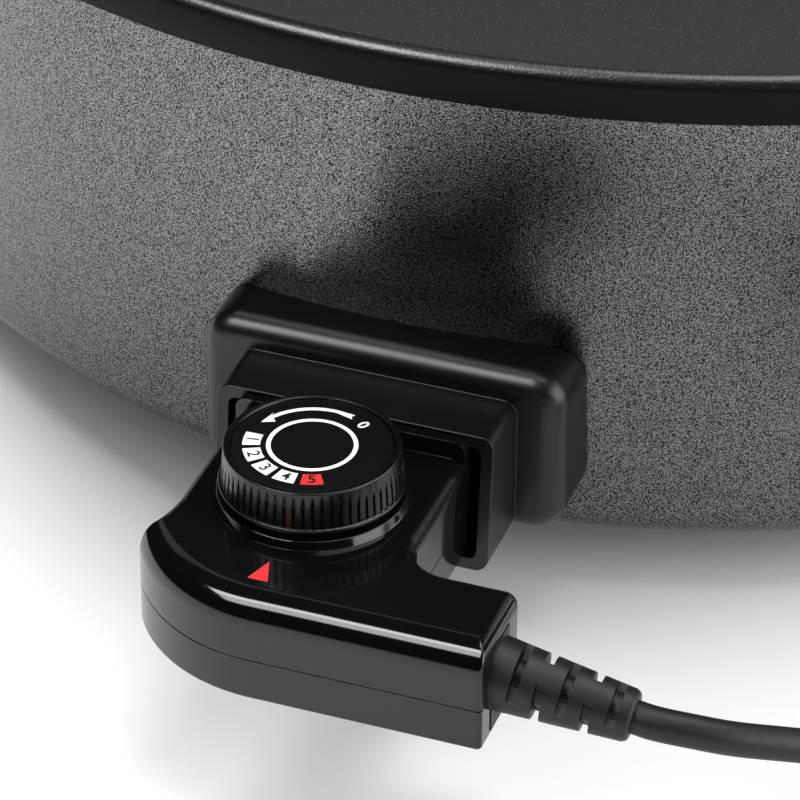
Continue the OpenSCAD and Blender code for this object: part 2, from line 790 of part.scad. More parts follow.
// Stack of plans, all drawn in by inset, from the parting line to a face with rounded edges
edge_steps = 6;
function case_rings(inset, face, side_r, ahead_r, direction) = concat(
  [plan(inset, inset, parting_z)],
  [for (i = [0 : edge_steps])
    let (a = 90 * i / edge_steps, drop = ahead_r * (1 - sin(a)))
    plan(inset + edge_inset(side_r, drop), inset + ahead_r * (1 - cos(a)), face - direction * drop)]
);

// Square seat for the strain relief in the arm's end wall
boot_seat_w = 10;
boot_seat_z0 = case_bottom + 1;
boot_seat_z1 = case_top - top_edge_r;
module boot_seat_cut() {
  translate([arm_reach - shell_t - 1, arm_y - boot_seat_w / 2, boot_seat_z0])
    cube([shell_t + 2, boot_seat_w, boot_seat_z1 - boot_seat_z0]);
}

case_screw_head_h = 2;
case_screw_recess = 3;

module controller_lower_shell() {
  outer = case_rings(0, case_bottom, bottom_edge_r, bottom_edge_r, -1);
  inner = [plan(shell_t, shell_t, parting_z), plan(shell_t, shell_t, case_bottom + shell_t)];
  color("#121213") at_dial() difference() {
    union() {
      mirror([0, 0, 1]) cup(
        [for (ring = outer) [for (p = ring) [p[0], p[1], -p[2]]]],
        [for (ring = inner) [for (p = ring) [p[0], p[1], -p[2]]]],
        plan_hub
      );
      for (p = screw_places) translate([p[0], p[1], case_bottom + shell_t - 0.5])
        cylinder(h = lower_h - shell_t + 0.5, r = post_r);
      for (y = bracket_posts) translate([0, y, case_bottom + shell_t - 0.5])
        cylinder(h = bracket_z - case_bottom - shell_t + 0.5, r = post_r);
    }
    for (p = screw_places) translate([p[0], p[1], case_bottom - 1]) {
      cylinder(h = lower_h + 2, r = case_screw_d / 2 + seat_fit);
      cylinder(h = case_screw_recess + 1, r = case_screw_d + seat_fit);
    }
    boot_seat_cut();
  }
}

module controller_upper_shell() {
  rib_y = dial_ahead + frame_set_back(case_top) - free_gap - stop_rib_t;
  rib_x = neck_x - seat_fit;
  rib_corner_r = 2.2;
  color("#0e0e0f") at_dial() difference() {
    union() {
      cup(
        case_rings(0, case_top, top_edge_r, front_edge_r, 1),
        case_rings(shell_t, case_top - shell_t, (top_edge_r - shell_t) / 2, front_edge_r - shell_t, 1),
        plan_hub
      );
      translate([0, 0, case_top - 0.5])
        cylinder(h = collar_h + 0.5, d1 = collar_d, d2 = collar_d - collar_h);
      translate([0, 0, case_top - 0.5]) cylinder(h = hub_h + 0.5, d = dial_d - 6);
      for (p = screw_places) translate([p[0], p[1], parting_z])
        cylinder(h = upper_h - shell_t + 0.5, r = post_r);
      translate([0, rib_y + stop_rib_t, case_top]) rotate([90, 0, 0])
        linear_extrude(stop_rib_t) polygon(concat(
          [[-rib_x, -top_edge_r], [top_edge_r - rib_x, -shell_t / 2]],
          [[rib_x - top_edge_r, -shell_t / 2], [rib_x, -top_edge_r]],
          arc([rib_x - rib_corner_r, stop_rib_h - rib_corner_r], rib_corner_r, 0, 90, 6),
          arc([rib_corner_r - rib_x, stop_rib_h - rib_corner_r], rib_corner_r, 90, 180, 6)
        ));
    }
    translate([0, 0, case_top - shell_t - 1])
      cylinder(h = shell_t + hub_h + 2, r = spindle_d / 2 + slide_fit);
    for (side = [-1, 1])
      along_y(side * pin_spacing / 2, neck_end - shell_t - 1, neck_end + 1, pin_d / 2 + free_gap);
    along_y(0, neck_end - shell_t - 1, neck_end + 1, probe_d / 2 + seat_fit);
    for (p = screw_places) translate([p[0], p[1], parting_z - 1])
      cylinder(h = upper_h - shell_t - 1, r = case_screw_d / 2 + seat_fit / 3);
    boot_seat_cut();
  }
}

module controller_screws() {
  head_z = case_bottom + case_screw_recess - case_screw_head_h;
  color("#8c8c88") at_dial() for (p = screw_places) translate([p[0], p[1], head_z]) {
    cylinder(h = case_screw_head_h, r = case_screw_d * 0.9);
    cylinder(h = upper_h - 5 + parting_z - head_z, r = case_screw_d / 2);
  }
}

// Inside the controller, from the dial's axis

receptacle_d = pin_d + 3;
receptacle_len = pin_reach - neck_play_end - shell_t + 1;
receptacle_back = neck_end - shell_t - free_gap - receptacle_len;
carrier_t = 6;
carrier_y = receptacle_back + 1.5;
bracket_z = parting_z - 3.6;
bracket_t = 1.2;
bracket_posts = [-12, carrier_y - 8];
stack_y = bracket_posts[0];
blade_t = 0.6;
blade_w = 7;
lower_blade_z = parting_z + 0.4;
upper_blade_z = lower_blade_z + 2.6;
contact_y = 8;
rivet_d = 3;

module contact_carrier() {
  w = neck_w - 2 * shell_t - 2 * free_gap;
  z0 = case_bottom + shell_t + free_gap;
  z1 = case_top - shell_t - free_gap;
  color("#5a2f1c") at_dial() difference() {
    translate([-w / 2, carrier_y, z0]) cube([w, carrier_t, z1 - z0]);
    for (side = [-1, 1]) along_y(side * pin_spacing / 2, carrier_y - 1, carrier_y + carrier_t + 1,
      receptacle_d / 2 + seat_fit / 3);
    along_y(0, carrier_y - 1, carrier_y + carrier_t + 1, probe_d / 2 + seat_fit / 3);
  }
}

module pin_receptacles() {
  color("#c9a35a") at_dial() for (side = [-1, 1]) difference() {
    along_y(side * pin_spacing / 2, receptacle_back, receptacle_back + receptacle_len,
      receptacle_d / 2);
    along_y(side * pin_spacing / 2, receptacle_back + 1.2, receptacle_back + receptacle_len + 1,
      pin_d / 2 + slide_fit);
  }
}

probe_collar_t = 1.8;
module temperature_probe() {
  tip_y = neck_end + probe_reach;
  collar_y = carrier_y - seat_fit - probe_collar_t;
  color("#c4c6c6") at_dial() {
    along_y(0, bracket_posts[1] + post_r + 1, tip_y - probe_d / 2, probe_d / 2);
    along_y(0, collar_y, collar_y + probe_collar_t, probe_d / 2 + 1.5);
    translate([0, tip_y - probe_d / 2, axis_z]) sphere(d = probe_d);
  }
}

module thermostat_bracket() {
  w = 14;
  back = bracket_posts[0] - 7;
  tab_y = bracket_posts[1] + post_r + 1.4;
  color("#b9bab6") at_dial() difference() {
    union() {
      translate([-w / 2, back, bracket_z]) cube([w, tab_y + bracket_t - back, bracket_t]);
      translate([-w / 2, tab_y, bracket_z]) cube([w, bracket_t, axis_z + probe_d - bracket_z]);
    }
    along_y(0, tab_y - 1, tab_y + bracket_t + 1, probe_d / 2 + seat_fit / 3);
    translate([0, stack_y, bracket_z - 1]) cylinder(h = 4, r = rivet_d / 2 + seat_fit / 3);
  }
}

// Leaf spring from the ceramic stack to its contact button
module contact_blade(z, button_z, button_h) {
  difference() {
    union() {
      translate([-blade_w / 2, stack_y - 4.5, z]) cube([blade_w, contact_y - stack_y + 8, blade_t]);
      translate([0, contact_y, button_z]) cylinder(h = button_h, r = 2);
    }
    translate([0, stack_y, z - 1]) cylinder(h = blade_t + 2, r = rivet_d / 2 + seat_fit / 3);
  }
}

contact_gap = 0.3;
button_h = (upper_blade_z - lower_blade_z - blade_t - contact_gap) / 2;
module moving_contact_blade() {
  color("#c58b52") at_dial() contact_blade(lower_blade_z, lower_blade_z + blade_t, button_h);
}

module fixed_contact_blade() {
  color("#c58b52") at_dial() contact_blade(upper_blade_z, upper_blade_z - button_h, button_h);
}

module ceramic_spacers() {
  top_t = 2;
  bands = [
    [bracket_z + bracket_t, lower_blade_z],
    [lower_blade_z + blade_t, upper_blade_z],
    [upper_blade_z + blade_t, upper_blade_z + blade_t + top_t]
  ];
  color("#e4dfd2") at_dial() {
    for (b = bands) translate([0, stack_y, b[0]]) cylinder(h = b[1] - b[0], r = 4.5);
    translate([0, stack_y, bracket_z]) cylinder(h = bands[2][1] - bracket_z, d = rivet_d);
  }
}

lead_d = 2.2;
module internal_leads() {
  x = pin_spacing / 2;
  start = arm_reach - shell_t - 2.8;
  end_y = receptacle_back - seat_fit;
  live = [
    [start, arm_y + 2, boot_z - 3], [start - 8, arm_y + 3, boot_z - 3], [24, arm_y + 5, axis_z - 3],
    [17.5, -12, axis_z - 1.6], [x, 2, axis_z], [x, end_y - 4, axis_z], [x, end_y, axis_z]
  ];
  neutral = [
    [start, arm_y, boot_z + 3], [start - 8, arm_y, boot_z + 3], [14, arm_y + 1, boot_z + 3],
    [0, arm_y + 3, boot_z + 3], [-11, -17, boot_z + 3], [-x, -4, axis_z], [-x, end_y - 4, axis_z],
    [-x, end_y, axis_z]
  ];
  color("#3a3a88") at_dial() {
    tube(live, lead_d, 8);
    tube(neutral, lead_d, 8);
  }
}

// Moves to the boot's root, with the boot along +X
boot_core_d = cord_d + 0.8;
module at_boot() {
  translate([arm_reach, arm_y, boot_z]) rotate([0, boot_droop, boot_turn]) children();
}

module strain_relief() {
  flange = 2 * (cord_inset - shell_t - free_gap) - front_edge_r / 2;
  seat_w = boot_seat_w - 2 * seat_fit;
  seat_h = boot_seat_z1 - boot_seat_z0 - 2 * seat_fit;
  first_cut = 3.2;
  web = 4.6;
  color("#1a1a1b") at_dial() {
    translate([arm_reach - shell_t - free_gap - 2, arm_y - flange / 2, boot_z - flange / 2])
      cube([2, flange, flange]);
    translate([arm_reach - shell_t - free_gap - 1, arm_y - seat_w / 2, boot_z - flange / 2])
      cube([2, seat_w, flange]);
    translate([arm_reach - shell_t - 1, arm_y - seat_w / 2, boot_seat_z0 + seat_fit])
      cube([shell_t + 1.2, seat_w, seat_h]);
    difference() {
      at_boot() rotate([0, 90, 0]) difference() {
        translate([0, 0, -1])
          cylinder(h = boot_len + 1, r1 = boot_root_d / 2, r2 = boot_tip_d / 2);
        for (i = [0 : boot_cuts - 1]) translate([0, 0, first_cut + i * boot_cut_pitch])
          rotate([0, 0, boot_twist + 90 * ((i + 1) % 2)]) difference() {
            cylinder(h = boot_cut_w, d = boot_root_d + 2);
            translate([0, 0, -1]) cylinder(h = boot_cut_w + 2, d = boot_core_d);
            translate([-boot_root_d, -web / 2, -1]) cube([2 * boot_root_d, web, boot_cut_w + 2]);
          }
      }
      translate([arm_reach - 20.2, arm_y - 20, boot_z - 20]) cube([20.4, 40, 40]);
    }
  }
}

// Dial, from the dial's axis

label_seat = seat_fit / 3;

module dial_knob() {
  lip_h = 0.9;
  skin = 2.2;
  roof = 2.4;
  bore_r = spindle_d / 2 + seat_fit / 3;
  spindle_top = label_z - 1;
  edge = 0.4;
  side_r = dial_d / 2 - 0.5;
  profile = [
    [0, spindle_top], [bore_r, spindle_top], [bore_r, dial_z], [bore_r + 2, dial_z],
    [bore_r + 2, label_z - roof], [side_r - skin, label_z - roof],
    [side_r - skin, dial_z], [dial_d / 2, dial_z], [dial_d / 2, dial_z + lip_h],
    [side_r, dial_z + lip_h + 0.2], [dial_top_d / 2, dial_top - edge],
    [dial_top_d / 2 - edge / 3, dial_top - edge / 3], [dial_top_d / 2 - edge, dial_top],
    [label_d / 2 + label_seat, dial_top], [label_d / 2 + label_seat, label_z], [0, label_z]
  ];
  step = 360 / flutes;
  flute_r = dial_d / 2 + 0.1;
  rib_share = 0.56;
  function crown_point(turns, r) = r * [cos(turns * step), sin(turns * step)];
  crown = [
    for (i = [0 : flutes - 1]) each [
      crown_point(i - rib_share / 2, flute_r), crown_point(i + rib_share / 2, flute_r),
      crown_point(i + 0.5, side_r - flute_depth)
    ]
  ];
  color("#101011") at_dial() difference() {
    rotate_extrude() polygon(profile);
    translate([0, 0, dial_z + lip_h + 0.2]) linear_extrude(flute_h - lip_h - 0.2)
      difference() {
        circle(r = dial_d);
        polygon(crown);
      }
  }
}

module dial_label() {
  color("#151516") at_dial() translate([0, 0, label_z]) cylinder(h = label_t, d = label_d);
}

module dial_spindle() {
  foot = upper_blade_z + blade_t + seat_fit;
  collar_top = case_top - shell_t - free_gap;
  color("#c8c8c4") at_dial() {
    translate([0, 0, foot]) cylinder(h = label_z - 1 - foot, d = spindle_d);
    translate([0, 0, collar_top - 1.4]) cylinder(h = 1.4, d = spindle_d + 3);
  }
}

// Cord, coil and plug, from the pan's axis

boot_axis = [cos(boot_droop) * cos(boot_turn), cos(boot_droop) * sin(boot_turn), -sin(boot_droop)];
boot_root = [arm_reach, arm_y - dial_reach, boot_z];
boot_tip = boot_root + boot_len * boot_axis;

// Radius and place on the coil after turning by angle w from its start. The spiral turns back
// half way through the half turn in which it climbs from the lower to the upper layer
coil_angle_in = 360 * coil_turns_in;
function coil_radius(w) =
  coil_r + coil_pitch / 360 * (abs(w - coil_angle_in - 90) - coil_angle_in - 90);
function coil_point(w) =
  let (
    climb = min(1, max(0, (w - coil_angle_in) / 180)),
    a = coil_start_angle - w
  )
  [
    coil_centre[0] + coil_radius(w) * cos(a),
    coil_centre[1] + coil_radius(w) * sin(a),
    coil_z + coil_pitch * climb
  ];

coil_steps = round(coil_total_angle / 360 * rings_per_turn);
coil_turns = [for (i = [0 : coil_steps]) coil_point(coil_total_angle * i / coil_steps)];
function heading_at(w) = unit(coil_point(w + 0.5) - coil_point(w - 0.5));
coil_in = [heading_at(0)[0], heading_at(0)[1], 0];
coil_out = [heading_at(coil_total_angle)[0], heading_at(coil_total_angle)[1], 0];
coil_begin = coil_turns[0] - cord_d * coil_in;
coil_finish = coil_turns[coil_steps] + cord_d * coil_out;
coil_path = concat([coil_begin], coil_turns, [coil_finish]);

// Least gap between turns, over pairs of points more than half a turn apart
coil_gap_found = min([
  for (i = [0 : len(coil_path) - 1]) for (j = [i + rings_per_turn / 2 : 1 : len(coil_path) - 1])
    norm(coil_path[i] - coil_path[j])
]) - cord_d;
function path_len(p) = len(p) < 2 ? 0 : [for (i = 0, s = 0; i < len(p);
  s = s + (i + 1 < len(p) ? norm(p[i + 1] - p[i]) : 0), i = i + 1) s][len(p) - 1];

free_path = concat([boot_tip, boot_tip + 4 * boot_axis], cord_route, [coil_begin - 3 * coil_in, coil_begin]);

// The lead bends away from the coil to run along +Y into the plug, rising to its axis
lead_angle = atan2(coil_out[1], coil_out[0]);
lead_start = coil_finish + lead_run * coil_out;
lead_bend = [
  for (i = [0 : 8])
    let (
      a = (90 - lead_angle) * i / 8,
      rise = (1 - cos(180 * i / 8)) / 2,
      p = [sin(a), 1 - cos(a)] * lead_bend_r
    )
    lead_start + [
      p[0] * cos(lead_angle) - p[1] * sin(lead_angle),
      p[0] * sin(lead_angle) + p[1] * cos(lead_angle),
      rise * (plug_axis_z - coil_finish[2])
    ]
];
plug_back = lead_bend[8] + [0, lead_straight, 0];
lead_path = concat([coil_finish], lead_bend, [plug_back]);

echo(coil_gap = coil_gap_found);
echo(cord_length = path_len(free_path) + path_len(coil_path) + path_len(lead_path));

module power_cord() {
  color("#1a1a1a") at_pan() tube(free_path, cord_d, 10);
}

module cord_coil() {
  color("#1a1a1a") at_pan() tube(coil_path, cord_d, 6);
}

module plug_lead() {
  color("#1a1a1a") at_pan() tube(lead_path, cord_d, 10);
}

// Strap round both layers of the coil, on its side away from the cord's ends
module cord_tie() {
  tie_angle = 300;
  reach = cord_d / 2 + free_gap;
  first_turn = 360 + coil_start_angle - tie_angle;
  radii = [for (w = [first_turn : 360 : coil_total_angle]) coil_radius(w)];
  // The straight strap leaves room for the curve of the inner turn
  x0 = min(radii) - reach - tie_w * tie_w / (8 * min(radii));
  x1 = max(radii) + reach;
  z0 = coil_z - reach;
  z1 = coil_z + coil_pitch + reach;
  color("#262626") at_pan() translate([coil_centre[0], coil_centre[1], 0])
    rotate([0, 0, tie_angle]) difference() {
      translate([x0 - tie_t, -tie_w / 2, z0 - tie_t])
        cube([x1 - x0 + 2 * tie_t, tie_w, z1 - z0 + 2 * tie_t]);
      translate([x0, -tie_w, z0]) cube([x1 - x0, 2 * tie_w, z1 - z0]);
    }
}

// Moves to the plug's cord entry, with the plug along +Z
module at_plug() {
  translate(plug_back) rotate([-90, 0, 0]) children();
}

// Narrower roots of the plug's pins, inside its body
plug_root_d = plug_pin_d - 0.8;
plug_root_len = 10;

module plug_body() {
  r = plug_d / 2;
  neck_r = cord_d / 2 + 1.6;
  flat = 5;
  profile = concat(
    [[0, 0], [neck_r, 0], [neck_r + 2, boot_plug_len * 0.8], [r - 6, boot_plug_len]],
    arc([r - 6, boot_plug_len + 6], 6, -70, 0, 5),
    arc([r - 1.5, boot_plug_len + plug_len - 1.5], 1.5, 0, 90, 3),
    [[0, boot_plug_len + plug_len]]
  );
  color("#171717") at_pan() at_plug() difference() {
    rotate_extrude() polygon(profile);
    for (side = [-1, 1]) {
      translate([-4, side * r - (side > 0 ? 2.5 : 0), boot_plug_len + 10])
        cube([8, 2.5, plug_len]);
      translate([side * (r + flat) - flat, -r, boot_plug_len + 16])
        translate([side * -1.5, 0, 0]) cube([2 * flat, 2 * r, plug_len]);
    }
    for (side = [-1, 1])
      translate([side * plug_pin_spacing / 2, 0, boot_plug_len + plug_len - plug_root_len])
        cylinder(h = plug_root_len + 1, r = plug_root_d / 2 + seat_fit / 3);
  }
}

module plug_pins() {
  shank = plug_pin_len - plug_pin_d / 2;
  color("#c9c9c4") at_pan() at_plug() for (side = [-1, 1])
    translate([side * plug_pin_spacing / 2, 0, boot_plug_len + plug_len]) {
      translate([0, 0, seat_fit - plug_root_len]) cylinder(h = plug_root_len, d = plug_root_d);
      cylinder(h = shank, d = plug_pin_d);
      translate([0, 0, shank]) sphere(d = plug_pin_d);
    }
}

inner_pan();
outer_skirt();
base_plate();
base_studs();
base_nuts();
foot_front_left();
foot_front_right();
foot_rear_left();
foot_rear_right();
foot_screws();
foot_nuts();
heating_element();
element_clips();
terminal_block();
terminal_pins();
probe_socket();
socket_guard();
guard_screws();
handle_left();
handle_right();
handle_screws();
controller_lower_shell();
controller_upper_shell();
controller_screws();
contact_carrier();
pin_receptacles();
temperature_probe();
thermostat_bracket();
ceramic_spacers();
moving_contact_blade();
fixed_contact_blade();
internal_leads();
strain_relief();
dial_spindle();
dial_knob();
dial_label();
power_cord();
cord_coil();
cord_tie();
plug_lead();
plug_body();
plug_pins();
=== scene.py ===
# %% [markdown]
# # An electric skillet with a plug-in thermostat
# A deep round pan hangs in a skirt of lacquered steel. A moulded guard on the skirt takes a black
# controller with a dial, a rubber strain relief and a mains cord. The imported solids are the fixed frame
# of this lesson. Each cell dresses or remodels one piece of it, and says first what the piece is.

# %% Load the frame
import json
import math

import bmesh
import bpy
from mathutils import Matrix, Vector


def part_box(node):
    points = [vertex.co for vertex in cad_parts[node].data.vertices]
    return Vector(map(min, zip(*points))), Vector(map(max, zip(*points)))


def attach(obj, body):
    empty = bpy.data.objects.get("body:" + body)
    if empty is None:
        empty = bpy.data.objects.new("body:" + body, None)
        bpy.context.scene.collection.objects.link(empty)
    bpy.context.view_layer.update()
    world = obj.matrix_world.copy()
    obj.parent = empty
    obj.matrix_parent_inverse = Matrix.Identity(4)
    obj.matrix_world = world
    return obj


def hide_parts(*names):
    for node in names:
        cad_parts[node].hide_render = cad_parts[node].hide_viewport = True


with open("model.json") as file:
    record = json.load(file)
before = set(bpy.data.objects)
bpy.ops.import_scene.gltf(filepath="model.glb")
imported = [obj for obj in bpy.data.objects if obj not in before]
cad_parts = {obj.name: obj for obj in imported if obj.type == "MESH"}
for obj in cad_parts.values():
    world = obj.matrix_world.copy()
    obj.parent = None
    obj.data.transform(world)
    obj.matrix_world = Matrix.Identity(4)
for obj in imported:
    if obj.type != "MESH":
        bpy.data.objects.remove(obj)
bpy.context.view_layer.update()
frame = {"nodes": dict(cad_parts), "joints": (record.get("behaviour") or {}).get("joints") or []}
nodes = frame["nodes"]

# %% [markdown]
# ## Units and places
# The frame is in metres, but a kitchen appliance is drawn in millimetres, so every size below is in
# millimetres and one function scales a finished mesh. Two upright axes place everything: the dial's,
# which the joint gives, and the pan's, a known reach behind it.

# %% Units and axes
MM = 0.001
joint_named = {joint["name"]: joint for joint in frame["joints"]}
DIAL_Y = joint_named["dial_turn"]["pos_m"][1] / MM
DIAL_REACH = 240.26
PAN_Y = DIAL_Y + DIAL_REACH


def box_mm(node):
    """Lowest and highest corner of a solid, in millimetres."""
    low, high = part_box(node)
    return low / MM, high / MM


PARTING_Z = box_mm("controller_lower_shell")[1].z
CASE_BOTTOM = box_mm("controller_lower_shell")[0].z
UPPER_H = 13
CASE_TOP = PARTING_Z + UPPER_H
DIAL_Z = box_mm("dial_knob")[0].z
DIAL_TOP = box_mm("dial_knob")[1].z
print(f"pan axis at y = {PAN_Y:.2f} mm, dial axis at y = {DIAL_Y:.2f} mm")

# %% [markdown]
# ## Camera
# The picture is a close-up taken with a long lens from the front right, a third of the way up. The
# camera is built from three angles and a place, which say more to a reader than a matrix would.

# %% Camera
AZIMUTH = math.radians(19.84)
ELEVATION = math.radians(33.93)
ROLL = math.radians(0.35)
CAMERA_AT = Vector((263.17, PAN_Y - 921.41, 562.45))
FOCAL_PIXELS = 4734
PICTURE_PIXELS = 800

ahead = Vector((
    -math.sin(AZIMUTH) * math.cos(ELEVATION),
    math.cos(AZIMUTH) * math.cos(ELEVATION),
    -math.sin(ELEVATION),
))
level = Vector((math.cos(AZIMUTH), math.sin(AZIMUTH), 0))
right = level * math.cos(ROLL) + level.cross(ahead) * math.sin(ROLL)
up = right.cross(ahead)

camera_data = bpy.data.cameras.new("camera")
camera_data.sensor_width = 36
camera_data.lens = camera_data.sensor_width * FOCAL_PIXELS / PICTURE_PIXELS
camera_data.clip_start = 0.05
camera_data.clip_end = 100
camera = bpy.data.objects.new("camera", camera_data)
turn = Matrix((right, up, -ahead)).transposed().to_4x4()
camera.matrix_world = Matrix.Translation(CAMERA_AT * MM) @ turn
bpy.context.scene.collection.objects.link(camera)
bpy.context.scene.camera = camera
print(f"lens of {camera_data.lens:.0f} mm")

# %% [markdown]
# ## Building blocks
# A few functions serve every piece. Turned pieces are profiles spun about an axis, moulded pieces are
# stacks of outlines joined ring to ring, and a cut is a Boolean with a second mesh. A turned profile
# starts a hair off its axis, so that no face shrinks to nothing. Faces that meet at more than a small
# angle keep a sharp edge, and the rest shade smoothly.

# %% Points and meshes
AXIS_R = 0.05


def arc(centre, radius, first, last, steps):
    """Points on an arc between two angles in degrees, as (x, y) pairs."""
    angles = [math.radians(first + (last - first) * i / steps) for i in range(steps + 1)]
    return [(centre[0] + radius * math.cos(a), centre[1] + radius * math.sin(a)) for a in angles]


def solid(name, points, faces):
    """A mesh object from points in millimetres, with its faces turned outwards."""
    mesh = bpy.data.meshes.new(name)
    mesh.from_pydata([Vector(p) * MM for p in points], [], faces)
    shape = bmesh.new()
    shape.from_mesh(mesh)
    bmesh.ops.remove_doubles(shape, verts=shape.verts, dist=1e-7)
    bmesh.ops.recalc_face_normals(shape, faces=shape.faces)
    shape.to_mesh(mesh)
    shape.free()
    piece = bpy.data.objects.new(name, mesh)
    bpy.context.scene.collection.objects.link(piece)
    return piece


def loft(name, rings, capped=True):
    """Rings with equal point counts, joined in order; an open stack is joined back to its start."""
    count = len(rings[0])
    points = [p for ring in rings for p in ring]
    pairs = [(j, j + 1) for j in range(len(rings) - 1)]
    if not capped:
        pairs.append((len(rings) - 1, 0))
    faces = []
    for j, k in pairs:
        for i in range(count):
            n = (i + 1) % count
            faces.append((j * count + i, j * count + n, k * count + n, k * count + i))
    if capped:
        faces.append(tuple(range(count)))
        faces.append(tuple((len(rings) - 1) * count + i for i in range(count)))
    return solid(name, points, faces)


def spin(name, profile, steps, axis=(0, 0)):
    """A profile of (radius, height) points spun about an upright axis; it is closed on itself."""
    rings = []
    for i in range(steps):
        a = 2 * math.pi * i / steps
        rings.append([(axis[0] + r * math.cos(a), axis[1] + r * math.sin(a), z) for r, z in profile])
    return loft(name, rings, capped=False)


def block(name, low, high):
    """A box between two corners."""
    bottom = [(low[0], low[1]), (high[0], low[1]), (high[0], high[1]), (low[0], high[1])]
    return loft(name, [[(x, y, z) for x, y in bottom] for z in (low[2], high[2])])


# %% Cuts and joins
def combine(piece, other, operation):
    """Cuts or joins piece with another mesh object, which is used up."""
    step = piece.modifiers.new("combine", "BOOLEAN")
    step.operation = operation
    step.solver = "EXACT"
    step.object = other
    settled = piece.evaluated_get(bpy.context.evaluated_depsgraph_get())
    result = bpy.data.meshes.new_from_object(settled)
    piece.modifiers.clear()
    piece.data = result
    bpy.data.objects.remove(other)
    return piece


def dress(piece, material, body, slot, *replaced, sharp=32, soften=0):
    """Gives a piece its finish, softens its edges by so many millimetres and sets it on its body."""
    piece.data.materials.clear()
    piece.data.materials.append(material)
    piece.data.shade_smooth()
    if soften:
        edge = piece.modifiers.new("soft edges", "BEVEL")
        edge.width = soften * MM
        edge.segments = 3
        edge.limit_method = "ANGLE"
        edge.angle_limit = math.radians(sharp)
        flat = piece.modifiers.new("flat faces", "WEIGHTED_NORMAL")
        flat.keep_sharp = True
    else:
        piece.data.set_sharp_from_angle(angle=math.radians(sharp))
    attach(piece, body)
    if replaced:
        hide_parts(*replaced)
    print(f"{piece.name}: {len(piece.data.vertices)} points")
    return piece


# %% [markdown]
# ## Finishes
# Every material starts from what the real one is and how its surface was made. Colours are written as
# the hex codes of a colour picker and turned to linear light by one function. Two more add shader nodes
# and feed their sockets.


# %% Colour and node helpers
def linear(code, times=1):
    """A hex colour as linear red, green, blue and alpha, made so many times as bright."""
    shares = [int(code[i : i + 2], 16) / 255 for i in (1, 3, 5)]
    light = [s / 12.92 if s <= 0.04045 else ((s + 0.055) / 1.055) ** 2.4 for s in shares]
    return [times * c for c in light] + [1]


def feed(tree, node, sockets):
    """Gives each socket of a node a value, or a link from another node's output."""
    for key, value in sockets.items():
        if isinstance(value, bpy.types.NodeSocket):
            tree.links.new(value, node.inputs[key])
        else:
            node.inputs[key].default_value = value


def add_node(tree, kind, sockets):
    """A new node with its sockets fed."""
    node = tree.nodes.new(kind)
    feed(tree, node, sockets)
    return node


def new_material(name, sockets):
    """A material whose shader has these values; returns it with its node tree and shader."""
    material = bpy.data.materials.new(name)
    material.use_nodes = True
    tree = material.node_tree
    shader = tree.nodes["Principled BSDF"]
    feed(tree, shader, sockets)
    return material, tree, shader


# %% [markdown]
# All finishes share a few steps: a pattern that stays with its piece and is sized in millimetres, a
# blend of two colours along it, a gloss that follows it, and relief.


# %% Patterns
def per_mm(size):
    """Texture scale at which one step of a pattern is this many millimetres."""
    return 1 / (size * MM)


def own_place(tree):
    """Coordinates that stay with the piece."""
    return tree.nodes.new("ShaderNodeTexCoord").outputs["Object"]


def noise(tree, place, size, detail):
    """Noise in steps of so many millimetres."""
    sockets = {"Vector": place, "Scale": per_mm(size), "Detail": detail}
    return add_node(tree, "ShaderNodeTexNoise", sockets).outputs["Fac"]


def blend(tree, pattern, low, high, start=0, end=1):
    """A blend of two colours as the pattern goes from start to end."""
    node = add_node(tree, "ShaderNodeValToRGB", {"Fac": pattern})
    first, last = node.color_ramp.elements
    first.position, first.color = start, low
    last.position, last.color = end, high
    return node.outputs["Color"]


def gloss(tree, pattern, low, high):
    """Roughness that follows a pattern between two values."""
    sockets = {"Value": pattern, "To Min": low, "To Max": high}
    return add_node(tree, "ShaderNodeMapRange", sockets).outputs["Result"]


def relief(tree, pattern, strength, depth):
    """A bump that follows a pattern, so many millimetres deep."""
    sockets = {"Height": pattern, "Strength": strength, "Distance": depth * MM}
    return add_node(tree, "ShaderNodeBump", sockets).outputs["Normal"]


# %% [markdown]
# ### Crinkle lacquer
# The skirt is sheet steel in a grey crinkle lacquer full of aluminium flake. As it dries, its skin
# wrinkles into worm-like ridges under a millimetre apart. The flake makes it mirror its surroundings
# softly, so it is a metal here. The ridges are a bump, and painted shade darkens the base colour in
# the furrows.

# %% Crinkle lacquer
CRINKLE = 0.27
CRINKLE_DEPTH = 0.035
lacquer, tree, shader = new_material("crinkle lacquer on steel", {"Metallic": 1, "Roughness": 0.22})
wrinkle_and_furrow_shade = noise(tree, own_place(tree), CRINKLE, detail=0)
feed(tree, shader, {
    # painted shade: the base colour goes dark where the wrinkle is low, in its furrows
    "Base Color": blend(tree, wrinkle_and_furrow_shade, linear("#262627"), linear("#828283"), start=0.42, end=0.58),
    "Normal": relief(tree, wrinkle_and_furrow_shade, 1, CRINKLE_DEPTH),
})

# %% [markdown]
# ### Non-stick coating
# The pan is cast aluminium under a black baked coating. It is satin, faintly pebbled by the blasted
# metal below, and sprinkled with mica that twinkles.

# %% Non-stick coating
PEBBLE = 0.5
PEBBLE_DEPTH = 0.08
MICA = 1.3
coating, tree, shader = new_material("black non-stick coating", {"Roughness": 0.3, "IOR": 1.6})
place = own_place(tree)
flecks = add_node(tree, "ShaderNodeTexVoronoi", {"Vector": place, "Scale": per_mm(MICA)})
mica = flecks.outputs["Distance"]
feed(tree, shader, {
    "Base Color": blend(tree, mica, linear("#3a3a3c"), linear("#080809"), start=0.1, end=0.17),
    "Normal": relief(tree, noise(tree, place, PEBBLE, detail=2), 0.6, PEBBLE_DEPTH),
})

